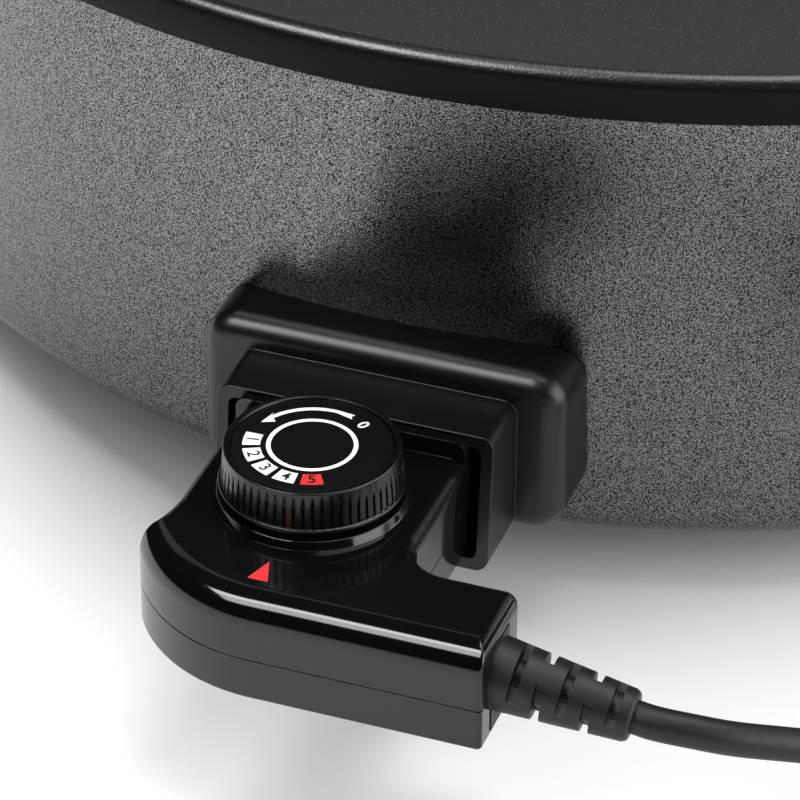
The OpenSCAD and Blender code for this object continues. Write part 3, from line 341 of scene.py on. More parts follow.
# %% [markdown]
# ### Moulded plastics, rubber and paint
# The guard and handles are a heat-proof phenolic moulding with a satin skin. The controller and its
# dial are glossier, polished in the mould, and the boot, cord and plug are soft matte rubber. A fine
# noise breaks each gloss a little, as the grain of a mould does. The inks and the dull enamel outside
# the pan's rim are made the same way, with a shallower grain.

# %% Moulded plastics, rubber and paint
PATCH_GRAINS = 40
PATCH_LIGHT = 1.25
PATCH_GLOSS = 0.12


def moulded(name, colour, roughness, grain, depth, ior=1.5):
    """A moulded surface: one colour, with a grain of this size and depth in millimetres."""
    material, tree, shader = new_material(name, {"Roughness": roughness, "IOR": ior})
    place = own_place(tree)
    patchy = noise(tree, place, grain * PATCH_GRAINS, detail=2)
    feed(tree, shader, {
        "Base Color": blend(tree, patchy, linear(colour), linear(colour, PATCH_LIGHT)),
        "Roughness": gloss(tree, patchy, roughness * (1 - PATCH_GLOSS), roughness * (1 + PATCH_GLOSS)),
        "Normal": relief(tree, noise(tree, place, grain, detail=3), 0.4, depth),
    })
    return material


phenolic = moulded("satin phenolic moulding", "#080809", 0.34, grain=0.35, depth=0.02, ior=1.44)
enamel = moulded("sprayed black enamel", "#050506", 0.5, grain=0.5, depth=0.01, ior=1.2)
polished = moulded("polished ABS", "#09090a", 0.09, grain=1.2, depth=0.002, ior=1.45)
dial_plastic = moulded("polished ABS of the dial", "#070708", 0.22, grain=0.8, depth=0.003, ior=1.42)
label_film = moulded("gloss label film", "#0c0c0e", 0.2, grain=0.6, depth=0.002)
rubber = moulded("matte PVC rubber", "#0d0d0e", 0.48, grain=0.4, depth=0.03, ior=1.42)
foot_rubber = moulded("foot rubber", "#1c1c1d", 0.62, grain=0.5, depth=0.04)
strap = moulded("plastic tie strap", "#262628", 0.45, grain=0.5, depth=0.02)
white_ink, red_ink, black_ink = (
    moulded(f"{name} screen ink", colour, 0.35, grain=0.3, depth=0.004)
    for name, colour in (("white", "#f2f2ef"), ("red", "#c4282a"), ("black", "#101012"))
)
ceramic = moulded("unglazed steatite", "#d8d2c4", 0.7, grain=0.3, depth=0.03)
brown_phenolic = moulded("brown phenolic", "#5a2f1c", 0.4, grain=0.4, depth=0.02)
lead_sleeve = moulded("silicone sleeve", "#33337d", 0.5, grain=0.3, depth=0.02)

# %% [markdown]
# ### Bare metals
# Screws, plates and pins are plain metals. Drawn and rolled metal carries fine lines along one axis,
# so the noise that breaks the gloss is stretched. It is drawn as coarse as half a millimetre so that
# it shows at all.

# %% Bare metals
LINE = 0.5
LINE_DEPTH = 0.02
FURROW_LIGHT = 0.8
LEAST_GLOSS, MOST_GLOSS = 0.8, 1.25


def bare_metal(name, colour, roughness, stretch):
    """A bare metal whose fine lines run along the axes that stretch shortens."""
    material, tree, shader = new_material(name, {"Metallic": 1, "Roughness": roughness})
    along = add_node(tree, "ShaderNodeMapping", {"Vector": own_place(tree), "Scale": stretch})
    lines = noise(tree, along.outputs["Vector"], LINE, detail=3)
    feed(tree, shader, {
        "Base Color": blend(tree, lines, linear(colour, FURROW_LIGHT), linear(colour)),
        "Roughness": gloss(tree, lines, roughness * LEAST_GLOSS, roughness * MOST_GLOSS),
        "Normal": relief(tree, lines, 0.2, LINE_DEPTH),
    })
    return material


zinc = bare_metal("zinc-plated steel", "#c3c5c6", 0.36, (1, 1, 1))
rolled_sheet = bare_metal("rolled steel sheet", "#b4b6b7", 0.42, (1, 0.06, 1))
drawn_tube = bare_metal("drawn steel tube", "#a0a19e", 0.4, (0.3, 0.3, 1))
nickel = bare_metal("nickel plate", "#d2d0c9", 0.2, (1, 0.1, 1))
raw_cast = bare_metal("raw cast aluminium", "#b0b2b1", 0.5, (1, 1, 1))
brass = bare_metal("spring brass", "#d0a45a", 0.28, (1, 0.1, 1))

# %% [markdown]
# ## Mains cord
# The cord leaves the boot, sinks to the table and lies in a put-away coil outside the picture, then
# rises into its plug. It is one round curve, so its length is true. The loose stretch follows listed
# points; the coil is a spiral that winds in on the table, climbs a layer and winds out again.

# %% Route of the cord
CORD_D = 6.5
BOOT_LEN = 26
ARM_REACH = 46.7
BOOT_ROOT = Vector((ARM_REACH, DIAL_Y - 26.75, PARTING_Z + 2))
BOOT_DROOP = math.radians(8.5)
BOOT_TURN = math.radians(2)
boot_axis = Vector((
    math.cos(BOOT_DROOP) * math.cos(BOOT_TURN),
    math.cos(BOOT_DROOP) * math.sin(BOOT_TURN),
    -math.sin(BOOT_DROOP),
))
boot_tip = BOOT_ROOT + BOOT_LEN * boot_axis
loose_points = [
    (82, -264.6, 33.6), (90, -261.2, 31.3), (100, -253.9, 27.2), (108, -246.6, 22.6),
    (116, -238.4, 17.4), (124, -229.6, 12.4), (132, -220.6, 8.2), (140, -211.4, 5.2),
]

COIL_AT = Vector((187, PAN_Y - 227, 0))
COIL_R = 46
TURN_GAP = 0.7
TABLE_GAP = 0.9
COIL_PITCH = CORD_D + TURN_GAP
COIL_Z = CORD_D / 2 + TABLE_GAP
COIL_START = 140
COIL_END = 90
TURNS_IN = 2
TURNS_OUT = 1.5 + (COIL_START - COIL_END) / 360
COIL_ANGLE = 360 * (TURNS_IN + 0.5 + TURNS_OUT)
STEPS_PER_TURN = 48


def coil_radius(turned):
    """The spiral closes in until it has half climbed, then opens at the same rate."""
    middle = 360 * TURNS_IN + 90
    return COIL_R + COIL_PITCH / 360 * (abs(turned - middle) - middle)


def coil_point(turned):
    """Place on the coil after so many degrees, clockwise from its start."""
    climbed = min(1, max(0, (turned - 360 * TURNS_IN) / 180))
    radius = coil_radius(turned)
    a = math.radians(COIL_START - turned)
    height = COIL_Z + COIL_PITCH * climbed
    return COIL_AT + Vector((radius * math.cos(a), radius * math.sin(a), height))


def coil_heading(turned):
    """Level direction of the cord at a place on the coil."""
    step = coil_point(turned + 0.5) - coil_point(turned - 0.5)
    return Vector((step.x, step.y, 0)).normalized()


coil_steps = round(COIL_ANGLE / 360 * STEPS_PER_TURN)
turns = [coil_point(COIL_ANGLE * i / coil_steps) for i in range(coil_steps + 1)]
coil_in = coil_heading(0)
coil_out = coil_heading(COIL_ANGLE)
coil_begin = turns[0] - CORD_D * coil_in
coil_finish = turns[-1] + CORD_D * coil_out

# %% [markdown]
# The lead to the plug bends left out of the coil and rises to the plug's axis. A smooth curve through
# all the chosen points keeps the cord from showing corners.

# %% Lead, smooth curve and cord
PLUG_D = 37
LEAD_RUN = 4
LEAD_BEND_R = 30
LEAD_STRAIGHT = 9
LEAD_STEPS = 24
lead_angle = math.atan2(coil_out.y, coil_out.x)
lead_start = coil_finish + LEAD_RUN * coil_out
coil_left = Vector((-coil_out.y, coil_out.x, 0))
lead = []
for i in range(LEAD_STEPS + 1):
    a = (math.pi / 2 - lead_angle) * i / LEAD_STEPS
    along = LEAD_BEND_R * math.sin(a)
    aside = LEAD_BEND_R * (1 - math.cos(a))
    rise = (1 - math.cos(math.pi * i / LEAD_STEPS)) / 2 * (PLUG_D / 2 - coil_finish.z)
    lead.append(lead_start + along * coil_out + aside * coil_left + Vector((0, 0, rise)))
plug_back = lead[-1] + Vector((0, LEAD_STRAIGHT, 0))


def smooth(points, pieces):
    """A curve through all the points, each span cut into so many pieces."""
    ends = [2 * points[0] - points[1], *points, 2 * points[-1] - points[-2]]
    found = [points[0]]
    for a, b, c, d in zip(ends, ends[1:], ends[2:], ends[3:]):
        for i in range(1, pieces + 1):
            t = i / pieces
            found.append(0.5 * (
                2 * b + (c - a) * t + (2 * a - 5 * b + 4 * c - d) * t * t
                + (3 * b - a - 3 * c + d) * t ** 3
            ))
    return found


BOOT_RUN = 4
COIL_RUN = 3
SPAN_PIECES = 4
loose = [boot_tip, boot_tip + BOOT_RUN * boot_axis]
loose += [Vector((x, PAN_Y + y, z)) for x, y, z in loose_points]
loose += [coil_begin - COIL_RUN * coil_in, coil_begin]
cord_path = smooth(loose, SPAN_PIECES) + turns + [coil_finish] + lead + [plug_back]

cord_line = bpy.data.curves.new("power_cord_round", "CURVE")
cord_line.dimensions = "3D"
cord_line.bevel_depth = CORD_D / 2 * MM
cord_line.bevel_resolution = 7
cord_line.use_fill_caps = True
spline = cord_line.splines.new("POLY")
spline.points.add(len(cord_path) - 1)
for point, place in zip(spline.points, cord_path):
    point.co = (*(place * MM), 1)
spline.use_smooth = True
cord = bpy.data.objects.new("power_cord_round", cord_line)
bpy.context.scene.collection.objects.link(cord)
cord_line.materials.append(rubber)
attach(cord, "controller")
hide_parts("power_cord", "cord_coil", "plug_lead")

# %% [markdown]
# ## Plug
# A round rubber plug with two nickel pins ends the cord. Its body is turned, with finger flats and
# guide grooves cut at its sides.

# %% Plug
SLEEVE_LEN = 20
SLEEVE_WALL = 1.6
SLEEVE_EDGE = 0.6
SLEEVE_FLARE = 2
PLUG_LEN = 36
PLUG_BACK_R = 6
PLUG_EDGE_R = 1.5
PLUG_CORE_R = 0.01
GROOVE_HALF, GROOVE_IN, GROOVE_FROM = 4, 2.5, 10
FLAT_HALF, FLAT_IN, FLAT_FROM = 5, 1.5, 16
plug_r = PLUG_D / 2
plug_end = SLEEVE_LEN + PLUG_LEN
past_end = plug_end + 1
sleeve_r = CORD_D / 2 + SLEEVE_WALL
profile = [(PLUG_CORE_R, 0), (sleeve_r - SLEEVE_EDGE, 0), (sleeve_r, SLEEVE_EDGE)]
profile += [(sleeve_r + SLEEVE_FLARE, SLEEVE_LEN * 0.8), (plug_r - PLUG_BACK_R, SLEEVE_LEN)]
profile += arc((plug_r - PLUG_BACK_R, SLEEVE_LEN + PLUG_BACK_R), PLUG_BACK_R, -70, 0, 10)
profile += arc((plug_r - PLUG_EDGE_R, plug_end - PLUG_EDGE_R), PLUG_EDGE_R, 0, 90, 6)
profile += [(PLUG_CORE_R, plug_end)]
plug = spin("plug_body_moulded", profile, 96)
for side in (-1, 1):
    groove_y = side * plug_r
    low = (-GROOVE_HALF, groove_y - GROOVE_IN, SLEEVE_LEN + GROOVE_FROM)
    high = (GROOVE_HALF, groove_y + GROOVE_IN, past_end)
    combine(plug, block("groove", low, high), "DIFFERENCE")
    flat_x = side * (plug_r - FLAT_IN + FLAT_HALF)
    low = (flat_x - FLAT_HALF, -plug_r - FLAT_IN, SLEEVE_LEN + FLAT_FROM)
    high = (flat_x + FLAT_HALF, plug_r + FLAT_IN, past_end)
    combine(plug, block("flat", low, high), "DIFFERENCE")
plug.data.transform(Matrix.Translation(plug_back * MM) @ Matrix.Rotation(-math.pi / 2, 4, "X"))
dress(plug, rubber, "controller", "cord_rubber", "plug_body", soften=0.4)

# %% [markdown]
# ## Tie
# A flat strap with rounded bends holds both layers of the coil together.

# %% Tie
TIE_W = 9
TIE_T = 0.6
TIE_ANGLE = 300
TIE_GAP = 0.3
TIE_CORNER_R = 2
tie_reach = CORD_D / 2 + TIE_GAP
radii = [coil_radius(w) for w in range(360 + COIL_START - TIE_ANGLE, int(COIL_ANGLE) + 1, 360)]
tie_low = (min(radii) - tie_reach - TIE_W ** 2 / (8 * min(radii)), COIL_Z - tie_reach)
tie_high = (max(radii) + tie_reach, COIL_Z + COIL_PITCH + tie_reach)


def tie_ring(grow, y):
    """A rounded rectangle round the turns, grown by so much."""
    r = TIE_CORNER_R + grow
    x0, z0 = tie_low[0] - grow + r, tie_low[1] - grow + r
    x1, z1 = tie_high[0] + grow - r, tie_high[1] + grow - r
    corners = [((x1, z1), 0), ((x0, z1), 90), ((x0, z0), 180), ((x1, z0), 270)]
    return [(x, y, z) for c, a in corners for x, z in arc(c, r, a, a + 90, 6)]


half = TIE_W / 2
tie = loft(
    "cord_tie_strap",
    [tie_ring(0, -half), tie_ring(TIE_T, -half), tie_ring(TIE_T, half), tie_ring(0, half)],
    capped=False,
)
tie.data.transform(Matrix.Translation(COIL_AT * MM) @ Matrix.Rotation(math.radians(TIE_ANGLE), 4, "Z"))
dress(tie, strap, "controller", "tie_strap", "cord_tie", soften=0.12)

# %% [markdown]
# ## Pan
# The inner pan is one casting: a flat cooking floor, a sloping wall and a thick rim that folds over the
# skirt. A spun profile follows the casting, with round stretches drawn as arcs and a rounder edge on
# the rim. The coating covers the inside and the rim's top, and the rim's outside is enamelled.

# %% Pan
RIM_R = 200
PAN_H = 125
RIM_BAND = 9.8
RIM_W = 4
RIM_EDGE_R = 3.2
BAND_EDGE, BAND_NIP = 0.6, 0.2
PAINT_EDGE = 0.3
FLOOR_Z = 48
PAN_T = 2.5
PAN_SLOPE = 12
CORNER_R = 14
ROUND_STEPS = 384

rim_z = PAN_H - RIM_BAND
lean = math.tan(math.radians(PAN_SLOPE))
wall_top = PAN_H - RIM_W / 2
rim_lip_r = RIM_W - RIM_EDGE_R
corner_out = (1 - math.sin(math.radians(PAN_SLOPE))) / math.cos(math.radians(PAN_SLOPE))
corner = (RIM_R - RIM_W - (wall_top - FLOOR_Z) * lean - CORNER_R * corner_out, FLOOR_Z + CORNER_R)
band_inner = RIM_R - RIM_W - (wall_top - rim_z) * lean + PAN_T / math.cos(math.radians(PAN_SLOPE))
profile = [(AXIS_R, FLOOR_Z - PAN_T)]
profile += arc(corner, CORNER_R + PAN_T, -90, -PAN_SLOPE, 16)
profile += [(band_inner, rim_z), (RIM_R - BAND_EDGE, rim_z)]
profile += [(RIM_R - BAND_NIP, rim_z + BAND_NIP), (RIM_R, rim_z + BAND_EDGE)]
profile += arc((RIM_R - RIM_EDGE_R, PAN_H - RIM_EDGE_R), RIM_EDGE_R, 0, 90, 14)
profile += arc((RIM_R - RIM_EDGE_R, PAN_H - rim_lip_r), rim_lip_r, 90, 180, 8)
profile += arc(corner, CORNER_R, -PAN_SLOPE, -90, 16)
profile += [(AXIS_R, FLOOR_Z)]
pan = spin("pan_cast", profile, ROUND_STEPS, (0, PAN_Y))
dress(pan, coating, "pan", "pan_coating", "inner_pan", sharp=50)
pan.data.materials.append(enamel)
for face in pan.data.polygons:
    reach = math.hypot(face.center.x, face.center.y - PAN_Y * MM) / MM
    face.material_index = 1 if reach > RIM_R - PAINT_EDGE else 0

# %% [markdown]
# ## Skirt
# The skirt is spun sheet, narrower at its foot, where it turns in under the pan. Its window for the
# terminals lies behind the guard.

# %% Skirt
SKIRT_GAP = 12
SKIRT_T = 1.2
SKIRT_SLOPE = 5.6
SKIRT_INSET = 1.2
SKIRT_TOP_R = RIM_R - SKIRT_INSET
BEND_R = 8
FLANGE_W = 12
WINDOW_PLAY, WINDOW_REACH = 0.3, 30


def skirt_r(z):
    """Outside radius of the skirt at a height."""
    return SKIRT_TOP_R - (rim_z - z) * math.tan(math.radians(SKIRT_SLOPE))


bend_share = (1 - math.sin(math.radians(SKIRT_SLOPE))) / math.cos(math.radians(SKIRT_SLOPE))
bend_at = (skirt_r(SKIRT_GAP) - BEND_R * bend_share, SKIRT_GAP + BEND_R)
flange_r = bend_at[0] - FLANGE_W
profile = [(SKIRT_TOP_R, rim_z), (SKIRT_TOP_R - SKIRT_T / math.cos(math.radians(SKIRT_SLOPE)), rim_z)]
profile += arc(bend_at, BEND_R - SKIRT_T, -SKIRT_SLOPE, -90, 14)
profile += [(flange_r, SKIRT_GAP + SKIRT_T), (flange_r, SKIRT_GAP)]
profile += arc(bend_at, BEND_R, -90, -SKIRT_SLOPE, 14)
skirt = spin("skirt_sheet", profile, ROUND_STEPS, (0, PAN_Y))
block_low, block_high = box_mm("terminal_block")
play = Vector((WINDOW_PLAY, WINDOW_REACH, WINDOW_PLAY))
combine(skirt, block("window", block_low - play, block_high + play), "DIFFERENCE")
dress(skirt, lacquer, "pan", "skirt_lacquer", "outer_skirt", sharp=50)

# %% [markdown]
# ## Socket guard
# A rounded plate stands off the skirt, and a rectangular frame on it takes the controller's neck. Each
# is a stack of rounded rectangles. The plate's back follows the skirt's cone, so it is worked out point
# by point, and the two are joined and hollowed with Booleans as a mould would form them.

# %% Guard outlines
GUARD_W = 75
GUARD_CORNER_R = 7
GUARD_EDGE_R = 4.5
GUARD_PROUD = 12.6
GUARD_DROP = 1
FRAME_W = 56.6
FRAME_H = 29.2
FRAME_PROUD = 14.8
FRAME_WALL = 2.5
FRAME_CORNER_R = 2.7
FRAME_LEAN = math.radians(5.5)
FRAME_ROOT = 4
MOUTH_CORNER_R = 1.5
MOUTH_AHEAD = 5
SOCKET_Z = 41.35
EDGE_STEPS = 8
WALL_GAP = 0.15
guard_low, guard_high = box_mm("socket_guard")
guard_front = PAN_Y - skirt_r(SOCKET_Z) - GUARD_PROUD
frame_front = guard_front - FRAME_PROUD
frame_bottom = guard_low.z + GUARD_DROP
frame_top = frame_bottom + FRAME_H


def rounded(w, z0, z1, r):
    """Rounded rectangle about x = 0, as (x, z) pairs."""
    corners = [((w / 2 - r, z1 - r), 0), ((r - w / 2, z1 - r), 90)]
    corners += [((r - w / 2, z0 + r), 180), ((w / 2 - r, z0 + r), 270)]
    return [p for c, a in corners for p in arc(c, r, a, a + 90, EDGE_STEPS)]


def plate_ring(inset, y):
    """Outline of the guard's plate drawn in by inset, at a depth."""
    r = GUARD_CORNER_R - inset
    outline = rounded(GUARD_W - 2 * inset, guard_low.z + inset, guard_high.z - inset, r)
    return [(x, y, z) for x, z in outline]


def on_wall(x, z):
    """Depth of a hair's gap off the skirt's outer face, at a place on the front."""
    return PAN_Y - math.sqrt((skirt_r(z) + WALL_GAP) ** 2 - x * x)


# %% Guard
back = [(x, on_wall(x, z), z) for x, _, z in plate_ring(0, 0)]
rings = [back]
for i in range(EDGE_STEPS + 1):
    a = math.pi / 2 * i / EDGE_STEPS
    rings.append(plate_ring(
        GUARD_EDGE_R * (1 - math.cos(a)), guard_front + GUARD_EDGE_R * (1 - math.sin(a))
    ))
guard = loft("socket_guard_moulded", rings)

frame_outline = rounded(FRAME_W, frame_bottom, frame_top, FRAME_CORNER_R)
frame_back = [(x, guard_front + FRAME_ROOT, z) for x, z in frame_outline]
frame_face = [(x, frame_front + (z - SOCKET_Z) * math.tan(FRAME_LEAN), z) for x, z in frame_outline]
combine(guard, loft("frame", [frame_back, frame_face]), "UNION")
mouth_outline = rounded(
    FRAME_W - 2 * FRAME_WALL, frame_bottom + FRAME_WALL, frame_top - FRAME_WALL, MOUTH_CORNER_R
)
mouth_ends = (block_low.y, frame_front - MOUTH_AHEAD)
mouth = loft("mouth", [[(x, y, z) for x, z in mouth_outline] for y in mouth_ends])
combine(guard, mouth, "DIFFERENCE")
combine(guard, block("block seat", block_low - play, block_high + play), "DIFFERENCE")
dress(guard, phenolic, "pan", "moulded_black", "socket_guard", soften=0.3)

# %% [markdown]
# ## Handles
# Two moulded grips spring from the skirt in flared roots. A rounded cross-section is carried along a
# path with two bends, and the roots are cut to the skirt's cone.

# %% Handles
HANDLE_Z = 92
HANDLE_SPAN = 92
HANDLE_PROUD = 36
HANDLE_BEND_R = 20
GRIP_W = 15
GRIP_H = 19
ROOT_FLARE = 8
ROOT_DEPTH = 12
SQUARENESS = 2.8
PATH_STEPS = 12
GRIP_STEPS = 40
handle_wall = skirt_r(HANDLE_Z)
grip_x = handle_wall + HANDLE_PROUD
leg_start = handle_wall - ROOT_DEPTH
leg_end = grip_x - HANDLE_BEND_R
half_span = HANDLE_SPAN / 2
leg_step = (leg_end - leg_start) / PATH_STEPS
leg = [(leg_start + leg_step * i, -half_span) for i in range(PATH_STEPS)]
bend = arc((leg_end, HANDLE_BEND_R - half_span), HANDLE_BEND_R, -90, 0, PATH_STEPS)
half_path = leg + bend + [(grip_x, -half_span / 4)]
handle_path = half_path + [(x, -y) for x, y in reversed(half_path)]


def squared(share):
    """A sine or cosine pushed outwards, so that a circle becomes a rounded square."""
    return math.copysign(abs(share) ** (2 / SQUARENESS), share)


def handle_ring(i):
    """Cross-section of the grip at one point of its path."""
    x, y = handle_path[i]
    before = Vector(handle_path[max(i - 1, 0)])
    after = Vector(handle_path[min(i + 1, len(handle_path) - 1)])
    ahead = (after - before).normalized()
    flare = ROOT_FLARE * max(0, 1 - (x - leg_start) / (leg_end - leg_start)) ** 2
    ring = []
    for k in range(GRIP_STEPS):
        w = 2 * math.pi * k / GRIP_STEPS
        across = squared(math.cos(w)) * (GRIP_W + flare) / 2
        rise = squared(math.sin(w)) * (GRIP_H + flare) / 2
        ring.append((x - ahead.y * across, y + ahead.x * across, HANDLE_Z + rise))
    return ring


core_profile = [(AXIS_R, SKIRT_GAP), (skirt_r(SKIRT_GAP) + WALL_GAP, SKIRT_GAP)]
core_profile += [(SKIRT_TOP_R + WALL_GAP, rim_z), (AXIS_R, rim_z)]
for node, side in (("handle_right", 0), ("handle_left", math.pi)):
    grip = loft(node + "_grip", [handle_ring(i) for i in range(len(handle_path))])
    combine(grip, spin("core", core_profile, ROUND_STEPS), "DIFFERENCE")
    grip.data.transform(Matrix.Translation((0, PAN_Y * MM, 0)) @ Matrix.Rotation(side, 4, "Z"))
    dress(grip, phenolic, "pan", "moulded_black", node, sharp=50)

# %% [markdown]
# ## Feet
# Four tapered rubber feet with a recess for the screw. The photographed side never shows them, but the
# pan stands on them.

# %% Feet
FOOT_R = 12
FOOT_SCREW_R = 2.15
FOOT_RECESS_R = 4.45
FOOT_RECESS_H = 6
FOOT_TAPER = 3.2
FOOT_EDGE_R = 1.2
FOOT_LIP = 1
for node in ("foot_front_left", "foot_front_right", "foot_rear_left", "foot_rear_right"):
    low, high = box_mm(node)
    profile = [(FOOT_RECESS_R, 0), (FOOT_R - FOOT_TAPER, 0)]
    profile += arc((FOOT_R - FOOT_TAPER, FOOT_EDGE_R), FOOT_EDGE_R, -90, -10, 5)
    profile += [(FOOT_R, high.z - FOOT_LIP), (FOOT_R, high.z), (FOOT_SCREW_R, high.z)]
    profile += [(FOOT_SCREW_R, FOOT_RECESS_H), (FOOT_RECESS_R, FOOT_RECESS_H)]
    foot = spin(node + "_rubber", profile, 64, ((low.x + high.x) / 2, (low.y + high.y) / 2))
    dress(foot, foot_rubber, "pan", "feet", node, sharp=50)

# %% [markdown]
# ## Controller housing
# Two glossy shells meet at a level parting line. Seen from above, the outline is a neck, a hollow
# flank, a large round front corner and an arm for the cord. Eight arcs draw it, and any of them can be
# drawn in to make a rounded edge or an inner wall, so one outline function serves both shells.

# %% Outline of the housing
NECK_X = 23.6
NECK_END = 39.9
FRONT = 36.9
ARM_W = 22
FRONT_R = 32.8
FRONT_X = 1.5
FLANK_R = 26
FLANK_AHEAD = 7.5
FILLET_R = 8.5
NECK_R, ARM_R, BOW_R, TIP_R = 3, 2.5, 1, 1.5
SHELL_T = 2
LEAST_R = 0.3
front_at = Vector((FRONT_X, FRONT_R - FRONT))
flank_at = Vector((-NECK_X - FLANK_R, -FLANK_AHEAD))
arm_back = ARM_W - FRONT


def bearing(a, b):
    """Angle in degrees from one point to another."""
    return math.degrees(math.atan2(b.y - a.y, b.x - a.x))


def circles_meet(a, ra, b, rb):
    """Where two circles meet, on the left when looking from the first to the second."""
    step = b - a
    along = (step.length_squared + ra * ra - rb * rb) / (2 * step.length)
    off = math.sqrt(ra * ra - along * along)
    ahead = step.normalized()
    return a + ahead * along + Vector((-ahead.y, ahead.x)) * off


def plan(inset, ahead, z):
    """The housing's outline from the dial's axis, drawn in by inset, and by ahead along its front."""
    neck_r, arm_r, bow_r, tip_r = (max(r - inset, LEAST_R) for r in (NECK_R, ARM_R, BOW_R, TIP_R))
    side, rear = NECK_X - inset - neck_r, NECK_END - inset - neck_r
    end = ARM_REACH - inset
    tip = circles_meet(front_at, FRONT_R - ahead - tip_r, flank_at, FLANK_R + inset + tip_r)
    swing = 360 + bearing(front_at, tip)
    outline = arc((side, rear), neck_r, 0, 90, 8) + arc((-side, rear), neck_r, 90, 180, 8)
    outline += arc(flank_at, FLANK_R + inset, 0, bearing(flank_at, tip), 24)
    outline += arc(tip, tip_r, bearing(tip, flank_at), swing, 10)
    outline += arc(front_at, FRONT_R - ahead, swing, 270, 40)
    outline += arc((end - bow_r, ahead + bow_r - FRONT), bow_r, 270, 360, 8)
    outline += arc((end - arm_r, arm_back - inset - arm_r), arm_r, 0, 90, 8)
    outline += arc((NECK_X + FILLET_R, arm_back + FILLET_R), FILLET_R + inset, 270, 180, 16)
    return [(x, DIAL_Y + y, z) for x, y in outline]


# %% [markdown]
# Each shell is a cup. Its outline rises from the parting line, where a hair-fine groove makes the dark
# line between the shells, to a rounded edge. The upper shell's edge is much rounder along the front
# than at the sides and back, and the inside wall follows it.

# %% Shells
GROOVE_W = 0.12
GROOVE_DEPTH = 0.4
ROUND_EDGE = 14
TOP_EDGE_R = 3
FRONT_EDGE_R = 5.8
BOTTOM_EDGE_R = 0.8


def edge_rings(inset, face, side_r, ahead_r, up):
    """Outlines, all drawn in by inset, that round off to a face; up is 1 or -1."""
    rings = []
    for i in range(ROUND_EDGE + 1):
        a = math.pi / 2 * i / ROUND_EDGE
        drop = ahead_r * (1 - math.sin(a))
        bite = side_r - math.sqrt(side_r ** 2 - (side_r - drop) ** 2) if drop < side_r else 0
        rings.append(plan(inset + bite, inset + ahead_r * (1 - math.cos(a)), face - up * drop))
    return rings


def shell(name, face, side_r, ahead_r, up):
    """A cup from the parting line to an outer face with rounded edges; up is 1 or -1."""
    lip = PARTING_Z + up * GROOVE_W
    rings = [plan(GROOVE_DEPTH, GROOVE_DEPTH, z) for z in (PARTING_Z, lip)] + [plan(0, 0, lip)]
    cup = loft(name, rings + edge_rings(0, face, side_r, ahead_r, up))
    inside = [max(r - SHELL_T, LEAST_R) for r in (side_r, ahead_r)]
    hollow = [plan(SHELL_T, SHELL_T, PARTING_Z - up)]
    hollow += edge_rings(SHELL_T, face - up * SHELL_T, *inside, up)
    return combine(cup, loft("hollow", hollow), "DIFFERENCE")


SEAT_W = 10
SEAT_DEPTH = 3
SEAT_SILL = 1
seat_low = Vector((ARM_REACH - SEAT_DEPTH, BOOT_ROOT.y - SEAT_W / 2, CASE_BOTTOM + SEAT_SILL))
seat_high = Vector((ARM_REACH + 1, BOOT_ROOT.y + SEAT_W / 2, CASE_TOP - TOP_EDGE_R))
lower = shell("controller_lower_moulded", CASE_BOTTOM, BOTTOM_EDGE_R, BOTTOM_EDGE_R, -1)
upper = shell("controller_upper_moulded", CASE_TOP, TOP_EDGE_R, FRONT_EDGE_R, 1)
for cup in (lower, upper):
    combine(cup, block("seat", seat_low, seat_high), "DIFFERENCE")

# %% [markdown]
# A low collar rings the dial, and a rib across the neck stops the controller at the frame's mouth.

# %% Collar and stop rib
COLLAR_R = 19
COLLAR_H = 1.6
COLLAR_SINK = 0.5
COLLAR_TAPER = 1.1
COLLAR_EDGE_R = 0.3
HUB_R = 14.8
HUB_H = 2.6
RIB_Y = DIAL_Y + 19.84
RIB_T = 2
RIB_H = 3.9
RIB_X = 23.45
RIB_CORNER_R = 2.2
foot_z = CASE_TOP - COLLAR_SINK
collar_top = CASE_TOP + COLLAR_H
profile = [(AXIS_R, foot_z), (COLLAR_R, foot_z)]
profile += arc((COLLAR_R - COLLAR_TAPER, collar_top - COLLAR_EDGE_R), COLLAR_EDGE_R, 25, 90, 4)
profile += [(HUB_R, collar_top), (HUB_R, CASE_TOP + HUB_H), (AXIS_R, CASE_TOP + HUB_H)]
combine(upper, spin("collar", profile, 128, (0, DIAL_Y)), "UNION")
rib_top = CASE_TOP + RIB_H
rib_outline = [(-RIB_X, CASE_TOP - TOP_EDGE_R), (TOP_EDGE_R - RIB_X, CASE_TOP - SHELL_T / 2)]
rib_outline += [(RIB_X - TOP_EDGE_R, CASE_TOP - SHELL_T / 2), (RIB_X, CASE_TOP - TOP_EDGE_R)]
rib_outline += arc((RIB_X - RIB_CORNER_R, rib_top - RIB_CORNER_R), RIB_CORNER_R, 0, 90, 8)
rib_outline += arc((RIB_CORNER_R - RIB_X, rib_top - RIB_CORNER_R), RIB_CORNER_R, 90, 180, 8)
rib = loft("rib", [[(x, y, z) for x, z in rib_outline] for y in (RIB_Y, RIB_Y + RIB_T)])
combine(upper, rib, "UNION")
dress(lower, polished, "controller", "housing_black", "controller_lower_shell", soften=0.08)
dress(upper, polished, "controller", "housing_black", "controller_upper_shell", soften=0.25)

# %% [markdown]
# ## Strain relief
# The boot is a tapered rubber moulding with slots cut from alternate sides, so that it bends like a
# chain. Each slot leaves a round core and a web on two sides. The cutters are flat crescents, made once
# and turned a quarter for every other slot.

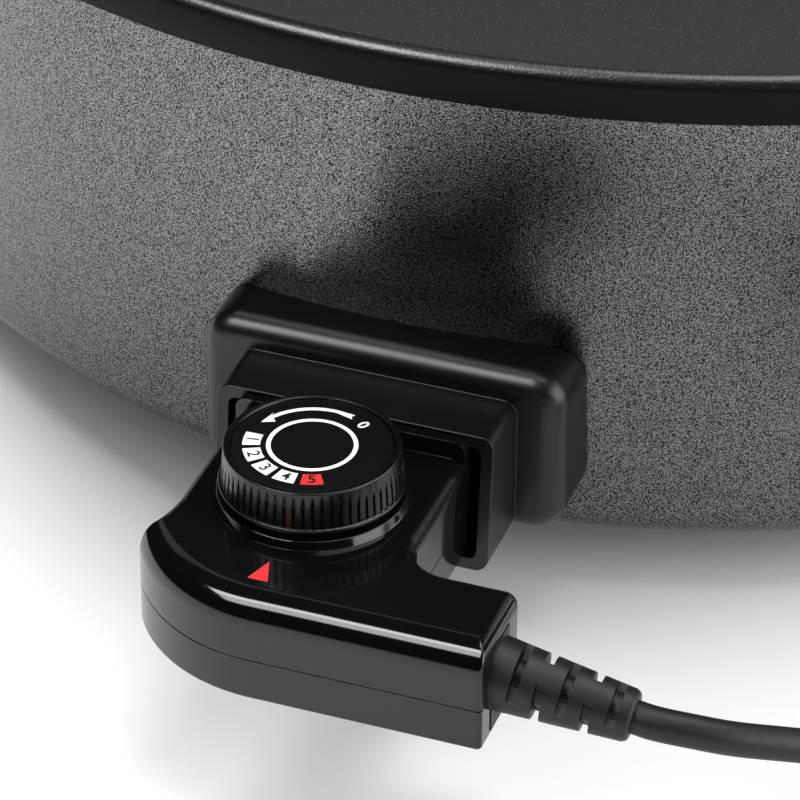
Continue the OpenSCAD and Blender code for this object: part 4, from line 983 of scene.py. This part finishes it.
# %% Strain relief
BOOT_ROOT_R = 7
BOOT_TIP_R = 4.9
BOOT_CORE_R = 3.65
BOOT_WEB = 2.3
BOOT_TWIST = 27
SLOT_FIRST = 3.2
SLOT_PITCH = 4.6
SLOT_W = 1.8
SLOTS = 5
BOOT_SINK = 1
BOOT_COLLAR = 0.2
BOOT_STEP = 0.15
BOOT_EDGE_R = 0.9
CUTTER_OVER = 2
edge_z = BOOT_LEN - BOOT_EDGE_R
profile = [(AXIS_R, -BOOT_SINK), (BOOT_ROOT_R, -BOOT_SINK), (BOOT_ROOT_R, BOOT_COLLAR)]
profile += [(BOOT_TIP_R + BOOT_STEP, edge_z)]
profile += arc((BOOT_TIP_R - BOOT_EDGE_R, edge_z), BOOT_EDGE_R, 0, 90, 6)
profile += [(AXIS_R, BOOT_LEN)]
boot = spin("strain_relief_moulded", profile, 96)
web_core = math.degrees(math.asin(BOOT_WEB / BOOT_CORE_R))
cutter_r = BOOT_ROOT_R + CUTTER_OVER
web_out = math.degrees(math.asin(BOOT_WEB / cutter_r))
crescent = arc((0, 0), cutter_r, web_out, 180 - web_out, 24)
crescent += arc((0, 0), BOOT_CORE_R, 180 - web_core, web_core, 24)
for i in range(SLOTS):
    z = SLOT_FIRST + i * SLOT_PITCH
    for half_turn in (0, 180):
        a = math.radians(BOOT_TWIST + 90 * ((i + 1) % 2) + half_turn)
        turn = Matrix.Rotation(a, 2)
        turned = [turn @ Vector(point) for point in crescent]
        slot = loft("slot", [[(x, y, h) for x, y in turned] for h in (z, z + SLOT_W)])
        combine(boot, slot, "DIFFERENCE")
lean_boot = Matrix.Rotation(BOOT_TURN, 4, "Z") @ Matrix.Rotation(math.pi / 2 + BOOT_DROOP, 4, "Y")
boot.data.transform(Matrix.Translation(BOOT_ROOT * MM) @ lean_boot)
SEAT_FIT = Vector((0, 0.15, 0.15))
SEAT_PROUD = 0.2
seat_front = Vector((ARM_REACH + SEAT_PROUD, seat_high.y, seat_high.z))
combine(boot, block("seat plug", seat_low + SEAT_FIT, seat_front - SEAT_FIT), "UNION")
dress(boot, rubber, "controller", "cord_rubber", "strain_relief", soften=0.3)

# %% [markdown]
# ## Dial
# The knob is turned from a profile with sixty narrow grooves round its lower half, a lip at the bottom
# and a softened top edge. The grooves fade out under the smooth upper band, so the wall is a grid of
# points whose radius dips at each groove. Its points crowd at the grooves and leave broad ribs between.

# %% Dial
FLUTES = 60
GROOVE_SHARES = (-0.35, -0.19, -0.13, -0.06, 0, 0.06, 0.13, 0.19, 0.35, 0.5)
GROOVE_DIPS = (0, 0, 0.4, 0.9, 1, 0.9, 0.4, 0, 0, 0)
FLUTE_DEPTH = 0.55
TOP_ROUND = 0.35
DIAL_CORE_R = 0.2
DIAL_LIP_R = 17.8
DIAL_LIP_H = 0.9
LIP_EDGE = 0.15
DIAL_SIDE_R = 17.3
DIAL_TOP_R = 16.8
FLUTE_STEPS = 6
FLUTE_TOP = 4.6
FADE_STEPS = 4
FADE_STEP = 0.2
LABEL_R = 15.3
LABEL_T = 0.5
LABEL_SINK = 0.35
LABEL_GAP = 0.12
SEAT_EDGE = 0.1
WALL_FOOT = 1.1
wall_z = DIAL_Z + WALL_FOOT
label_z = DIAL_TOP - LABEL_SINK
flute_top = DIAL_Z + FLUTE_TOP


def dial_ring(radius, z, groove):
    """One level of the knob's wall, with grooves of this depth."""
    ring = []
    for i in range(FLUTES):
        for share, dip in zip(GROOVE_SHARES, GROOVE_DIPS):
            a = 2 * math.pi * (i + 0.5 + share) / FLUTES
            r = radius - groove * dip
            ring.append((r * math.cos(a), DIAL_Y + r * math.sin(a), z))
    return ring


def side_r(z):
    """The wall leans in from the lip to the top edge."""
    share = (z - wall_z) / (DIAL_TOP - TOP_ROUND - wall_z)
    return DIAL_SIDE_R + (DIAL_TOP_R - DIAL_SIDE_R) * share


lip_z = DIAL_Z + DIAL_LIP_H
levels = [(DIAL_CORE_R, DIAL_Z, 0), (DIAL_LIP_R - LIP_EDGE, DIAL_Z, 0)]
levels += [(DIAL_LIP_R, DIAL_Z + LIP_EDGE, 0), (DIAL_LIP_R, lip_z - LIP_EDGE, 0)]
levels += [(DIAL_LIP_R - LIP_EDGE, lip_z, 0), (side_r(wall_z), (lip_z + wall_z) / 2, FLUTE_DEPTH)]
for i in range(FLUTE_STEPS + 1):
    z = wall_z + (flute_top - wall_z) * i / FLUTE_STEPS
    levels.append((side_r(z), z, FLUTE_DEPTH))
for i in range(1, FADE_STEPS + 1):
    z = flute_top + FADE_STEP * i
    levels.append((side_r(z), z, FLUTE_DEPTH * (1 - (i / FADE_STEPS) ** 2)))
edge_at = (DIAL_TOP_R - TOP_ROUND, DIAL_TOP - TOP_ROUND)
levels += [(r, z, 0) for r, z in arc(edge_at, TOP_ROUND, 0, 90, 6)]
seat_r = LABEL_R + LABEL_GAP
levels += [(seat_r + SEAT_EDGE, DIAL_TOP, 0), (seat_r, DIAL_TOP - SEAT_EDGE, 0)]
levels += [(seat_r, label_z - LABEL_T, 0), (DIAL_CORE_R, label_z - LABEL_T, 0)]
knob = loft("dial_knob_fluted", [dial_ring(*level) for level in levels])
dress(knob, dial_plastic, "dial", "dial_black", "dial_knob", sharp=55)

# %% [markdown]
# ## Dial print
# A black film disc on the knob carries plain marks: a white ring, five numbered blocks, a nought and an
# arrow that shows the way to turn. Each mark is a thin layer of ink with real edges, so it stays crisp
# at any distance. The outlines are sectors and arcs about the dial's axis.

# %% Label and ink helpers
INK_T = 0.03
FILM_EDGE = 0.08
profile = [(AXIS_R, label_z - LABEL_T), (LABEL_R, label_z - LABEL_T)]
profile += [(LABEL_R, label_z - FILM_EDGE), (LABEL_R - FILM_EDGE, label_z), (AXIS_R, label_z)]
label = spin("dial_label_film", profile, 128, (0, DIAL_Y))
dress(label, label_film, "dial", "dial_print", "dial_label")


def ink(name, outlines, z, material, body, slot):
    """Flat marks of ink on a face at height z; each outline is drawn from the dial's axis."""
    points, faces = [], []
    for outline in outlines:
        n, start = len(outline), len(points)
        for height in (z, z + INK_T):
            points += [(x, DIAL_Y + y, height) for x, y in outline]
        faces.append(tuple(range(start, start + n)))
        faces.append(tuple(range(start + n, start + 2 * n)))
        for i in range(n):
            k = (i + 1) % n
            faces.append((start + i, start + k, start + n + k, start + n + i))
    return dress(solid(name, points, faces), material, body, slot)


def sector(r0, r1, middle, width, steps=8):
    """A block between two radii, about an angle."""
    a0, a1 = middle - width / 2, middle + width / 2
    return arc((0, 0), r1, a0, a1, steps) + arc((0, 0), r0, a1, a0, steps)


# %% Ring, blocks and arrow
RING_R0, RING_R1 = 7.8, 8.65
BLOCK_R0, BLOCK_R1 = 9.75, 13.1
BLOCK_WIDTH = 19.5
BLOCK_FIRST = 190.6
BLOCK_STEP = 25
QUARTER = 90.5
ARROW_R0, ARROW_R1 = 11.55, 12.45
ARROW_FROM, ARROW_TO = 87, 150
ARROW_HEAD = [(-10.63, 7.52), (-11.75, 3.75), (-9.24, 4.82)]
ARROW_TAIL = [(4.05, 10.55), (3.6, 11.35), (4.13, 12.0)]
block_angles = [BLOCK_FIRST + BLOCK_STEP * i for i in range(5)]
white_marks = [sector(RING_R0, RING_R1, middle, QUARTER, 32) for middle in (45, 135, 225, 315)]
white_marks += [sector(BLOCK_R0, BLOCK_R1, a, BLOCK_WIDTH) for a in block_angles[:4]]
arrow = arc((0, 0), ARROW_R1, ARROW_FROM, ARROW_TO, 24) + ARROW_HEAD
arrow += arc((0, 0), ARROW_R0, ARROW_TO, ARROW_FROM, 24) + ARROW_TAIL
white_marks.append(arrow)
ink("dial_marks_white", white_marks, label_z, white_ink, "dial", "dial_print")
red_block = [sector(BLOCK_R0, BLOCK_R1, block_angles[4], BLOCK_WIDTH)]
ink("dial_mark_red", red_block, label_z, red_ink, "dial", "dial_print")

# %% [markdown]
# The numbers stand with their tops to the dial's middle. They come from the built-in font as text
# curves, which are turned to meshes and laid on the blocks.

# %% Numbers
NUMBER_SIZE = 3.4
NUMBER_BOLD = 0.06
ZERO_AT = (11.8, 55)


def number(text, radius, angle, z, material):
    """One digit of ink at a place on the dial."""
    line = bpy.data.curves.new("digit", "FONT")
    line.body = text
    line.size = NUMBER_SIZE * MM
    line.align_x = "CENTER"
    line.align_y = "CENTER"
    line.extrude = INK_T / 2 * MM
    line.offset = NUMBER_BOLD * MM
    glyph = bpy.data.objects.new("digit", line)
    bpy.context.scene.collection.objects.link(glyph)
    settled = glyph.evaluated_get(bpy.context.evaluated_depsgraph_get())
    mesh = bpy.data.meshes.new_from_object(settled)
    bpy.data.objects.remove(glyph)
    a = math.radians(angle)
    at = Vector((radius * math.cos(a), DIAL_Y + radius * math.sin(a), z + INK_T / 2)) * MM
    mesh.transform(Matrix.Translation(at) @ Matrix.Rotation(a + math.pi / 2, 4, "Z"))
    piece = bpy.data.objects.new(f"dial_number_{text}", mesh)
    bpy.context.scene.collection.objects.link(piece)
    return dress(piece, material, "dial", "dial_print")


block_middle = (BLOCK_R0 + BLOCK_R1) / 2
for i, angle in enumerate(block_angles):
    number(str(i + 1), block_middle, angle, label_z + INK_T, black_ink)
number("0", *ZERO_AT, label_z, white_ink)

# %% [markdown]
# A red wedge on the housing points at the dial from a rounded foot, a little right of the middle.

# %% Pointer
POINTER_X = 0.4
POINTER_TIP, POINTER_FOOT = 23.3, 29.4
POINTER_HALF = 3.9
foot_arc = arc((POINTER_X, 0), POINTER_FOOT, 270 - POINTER_HALF, 270 + POINTER_HALF, 8)
pointer = [(POINTER_X, -POINTER_TIP)] + foot_arc
ink("pointer_red", [pointer], CASE_TOP, red_ink, "controller", "housing_black")

# %% [markdown]
# ## Solids that keep their shape
# The base, its screws, the heating parts and everything in the controller are right as they are built.
# They only take the finish of their real material.

# %% Finishes of the kept solids
kept = {
    zinc: ("base_studs", "base_nuts", "foot_screws", "foot_nuts", "guard_screws", "handle_screws",
           "controller_screws", "dial_spindle"),
    rolled_sheet: ("base_plate", "element_clips", "thermostat_bracket"),
    drawn_tube: ("heating_element", "temperature_probe"),
    nickel: ("terminal_pins", "plug_pins"),
    raw_cast: ("probe_socket",),
    brass: ("pin_receptacles", "moving_contact_blade", "fixed_contact_blade"),
    ceramic: ("terminal_block", "ceramic_spacers"),
    brown_phenolic: ("contact_carrier",),
    lead_sleeve: ("internal_leads",),
}
for material, names in kept.items():
    for name in names:
        nodes[name].data.materials.clear()
        nodes[name].data.materials.append(material)
print(sum(len(names) for names in kept.values()), "solids keep their shape")

# %% [markdown]
# ## Floor and light
# The object stands on a wide sheet of white paper, which black gloss mirrors in its lower faces. The
# sheet and the lamps are placed in metres.

# %% Floor
SHEET = 40
SHEET_DROP = 0.3
half = SHEET / 2
corners = [(-half, -half), (half, -half), (half, half), (-half, half)]
mesh = bpy.data.meshes.new("floor")
mesh.from_pydata([(x, y, -SHEET_DROP * MM) for x, y in corners], [], [(0, 1, 2, 3)])
floor = bpy.data.objects.new("floor", mesh)
bpy.context.scene.collection.objects.link(floor)
paper, _, _ = new_material("white paper sweep", {"Base Color": linear("#f4f4f4"), "Roughness": 0.9})
mesh.materials.append(paper)

# %% [markdown]
# A soft lamp overhead, a broad one at the right and a fill behind at the left give the soft shadows,
# and a weak one behind greys the cooking floor. Two cards are seen in gloss only: they draw the bright
# line along the controller's front edge and the rim. The room is an even, half-bright white that gloss
# doesn't mirror, which keeps black plastic black.


# %% Lamps and room
def lamp(name, place, aim, size, watts):
    """A rectangular soft lamp aimed at a point, all in metres."""
    data = bpy.data.lights.new(name, "AREA")
    data.shape = "RECTANGLE"
    data.size, data.size_y = size
    data.energy = watts
    source = bpy.data.objects.new(name, data)
    source.location = place
    source.rotation_euler = (Vector(aim) - Vector(place)).to_track_quat("-Z", "Y").to_euler()
    bpy.context.scene.collection.objects.link(source)
    return source


lamp("overhead", (0.35, 0.2, 1.6), (0.25, 0, 0), (0.8, 1.2), 17)
lamp("right_wall", (1.9, 0.1, 0.75), (0, -0.05, 0.05), (2.6, 1.4), 54)
lamp("back", (-0.5, 1.44, 1.06), (0, 0.04, 0.05), (2.2, 1.4), 4.8)
fill = lamp("left_back_fill", (-1.2, 0.8, 1.2), (0, -0.1, 0), (1.0, 1.0), 40)
fill.visible_glossy = False
cards = (
    lamp("front_card", (-0.7, -1.2, 1.55), (-0.7, -1.2, 0), (1.0, 0.6), 21),
    lamp("front_strip", (-0.7, -0.76, 1.55), (-0.7, -0.76, 0), (1.0, 0.28), 16),
)
for card in cards:
    card.visible_diffuse = False

world = bpy.data.worlds.new("studio")
world.use_nodes = True
room = world.node_tree.nodes["Background"]
feed(world.node_tree, room, {"Color": linear("#ffffff"), "Strength": 0.5})
world.cycles_visibility.glossy = False
bpy.context.scene.world = world
bpy.context.scene.view_settings.view_transform = "Standard"
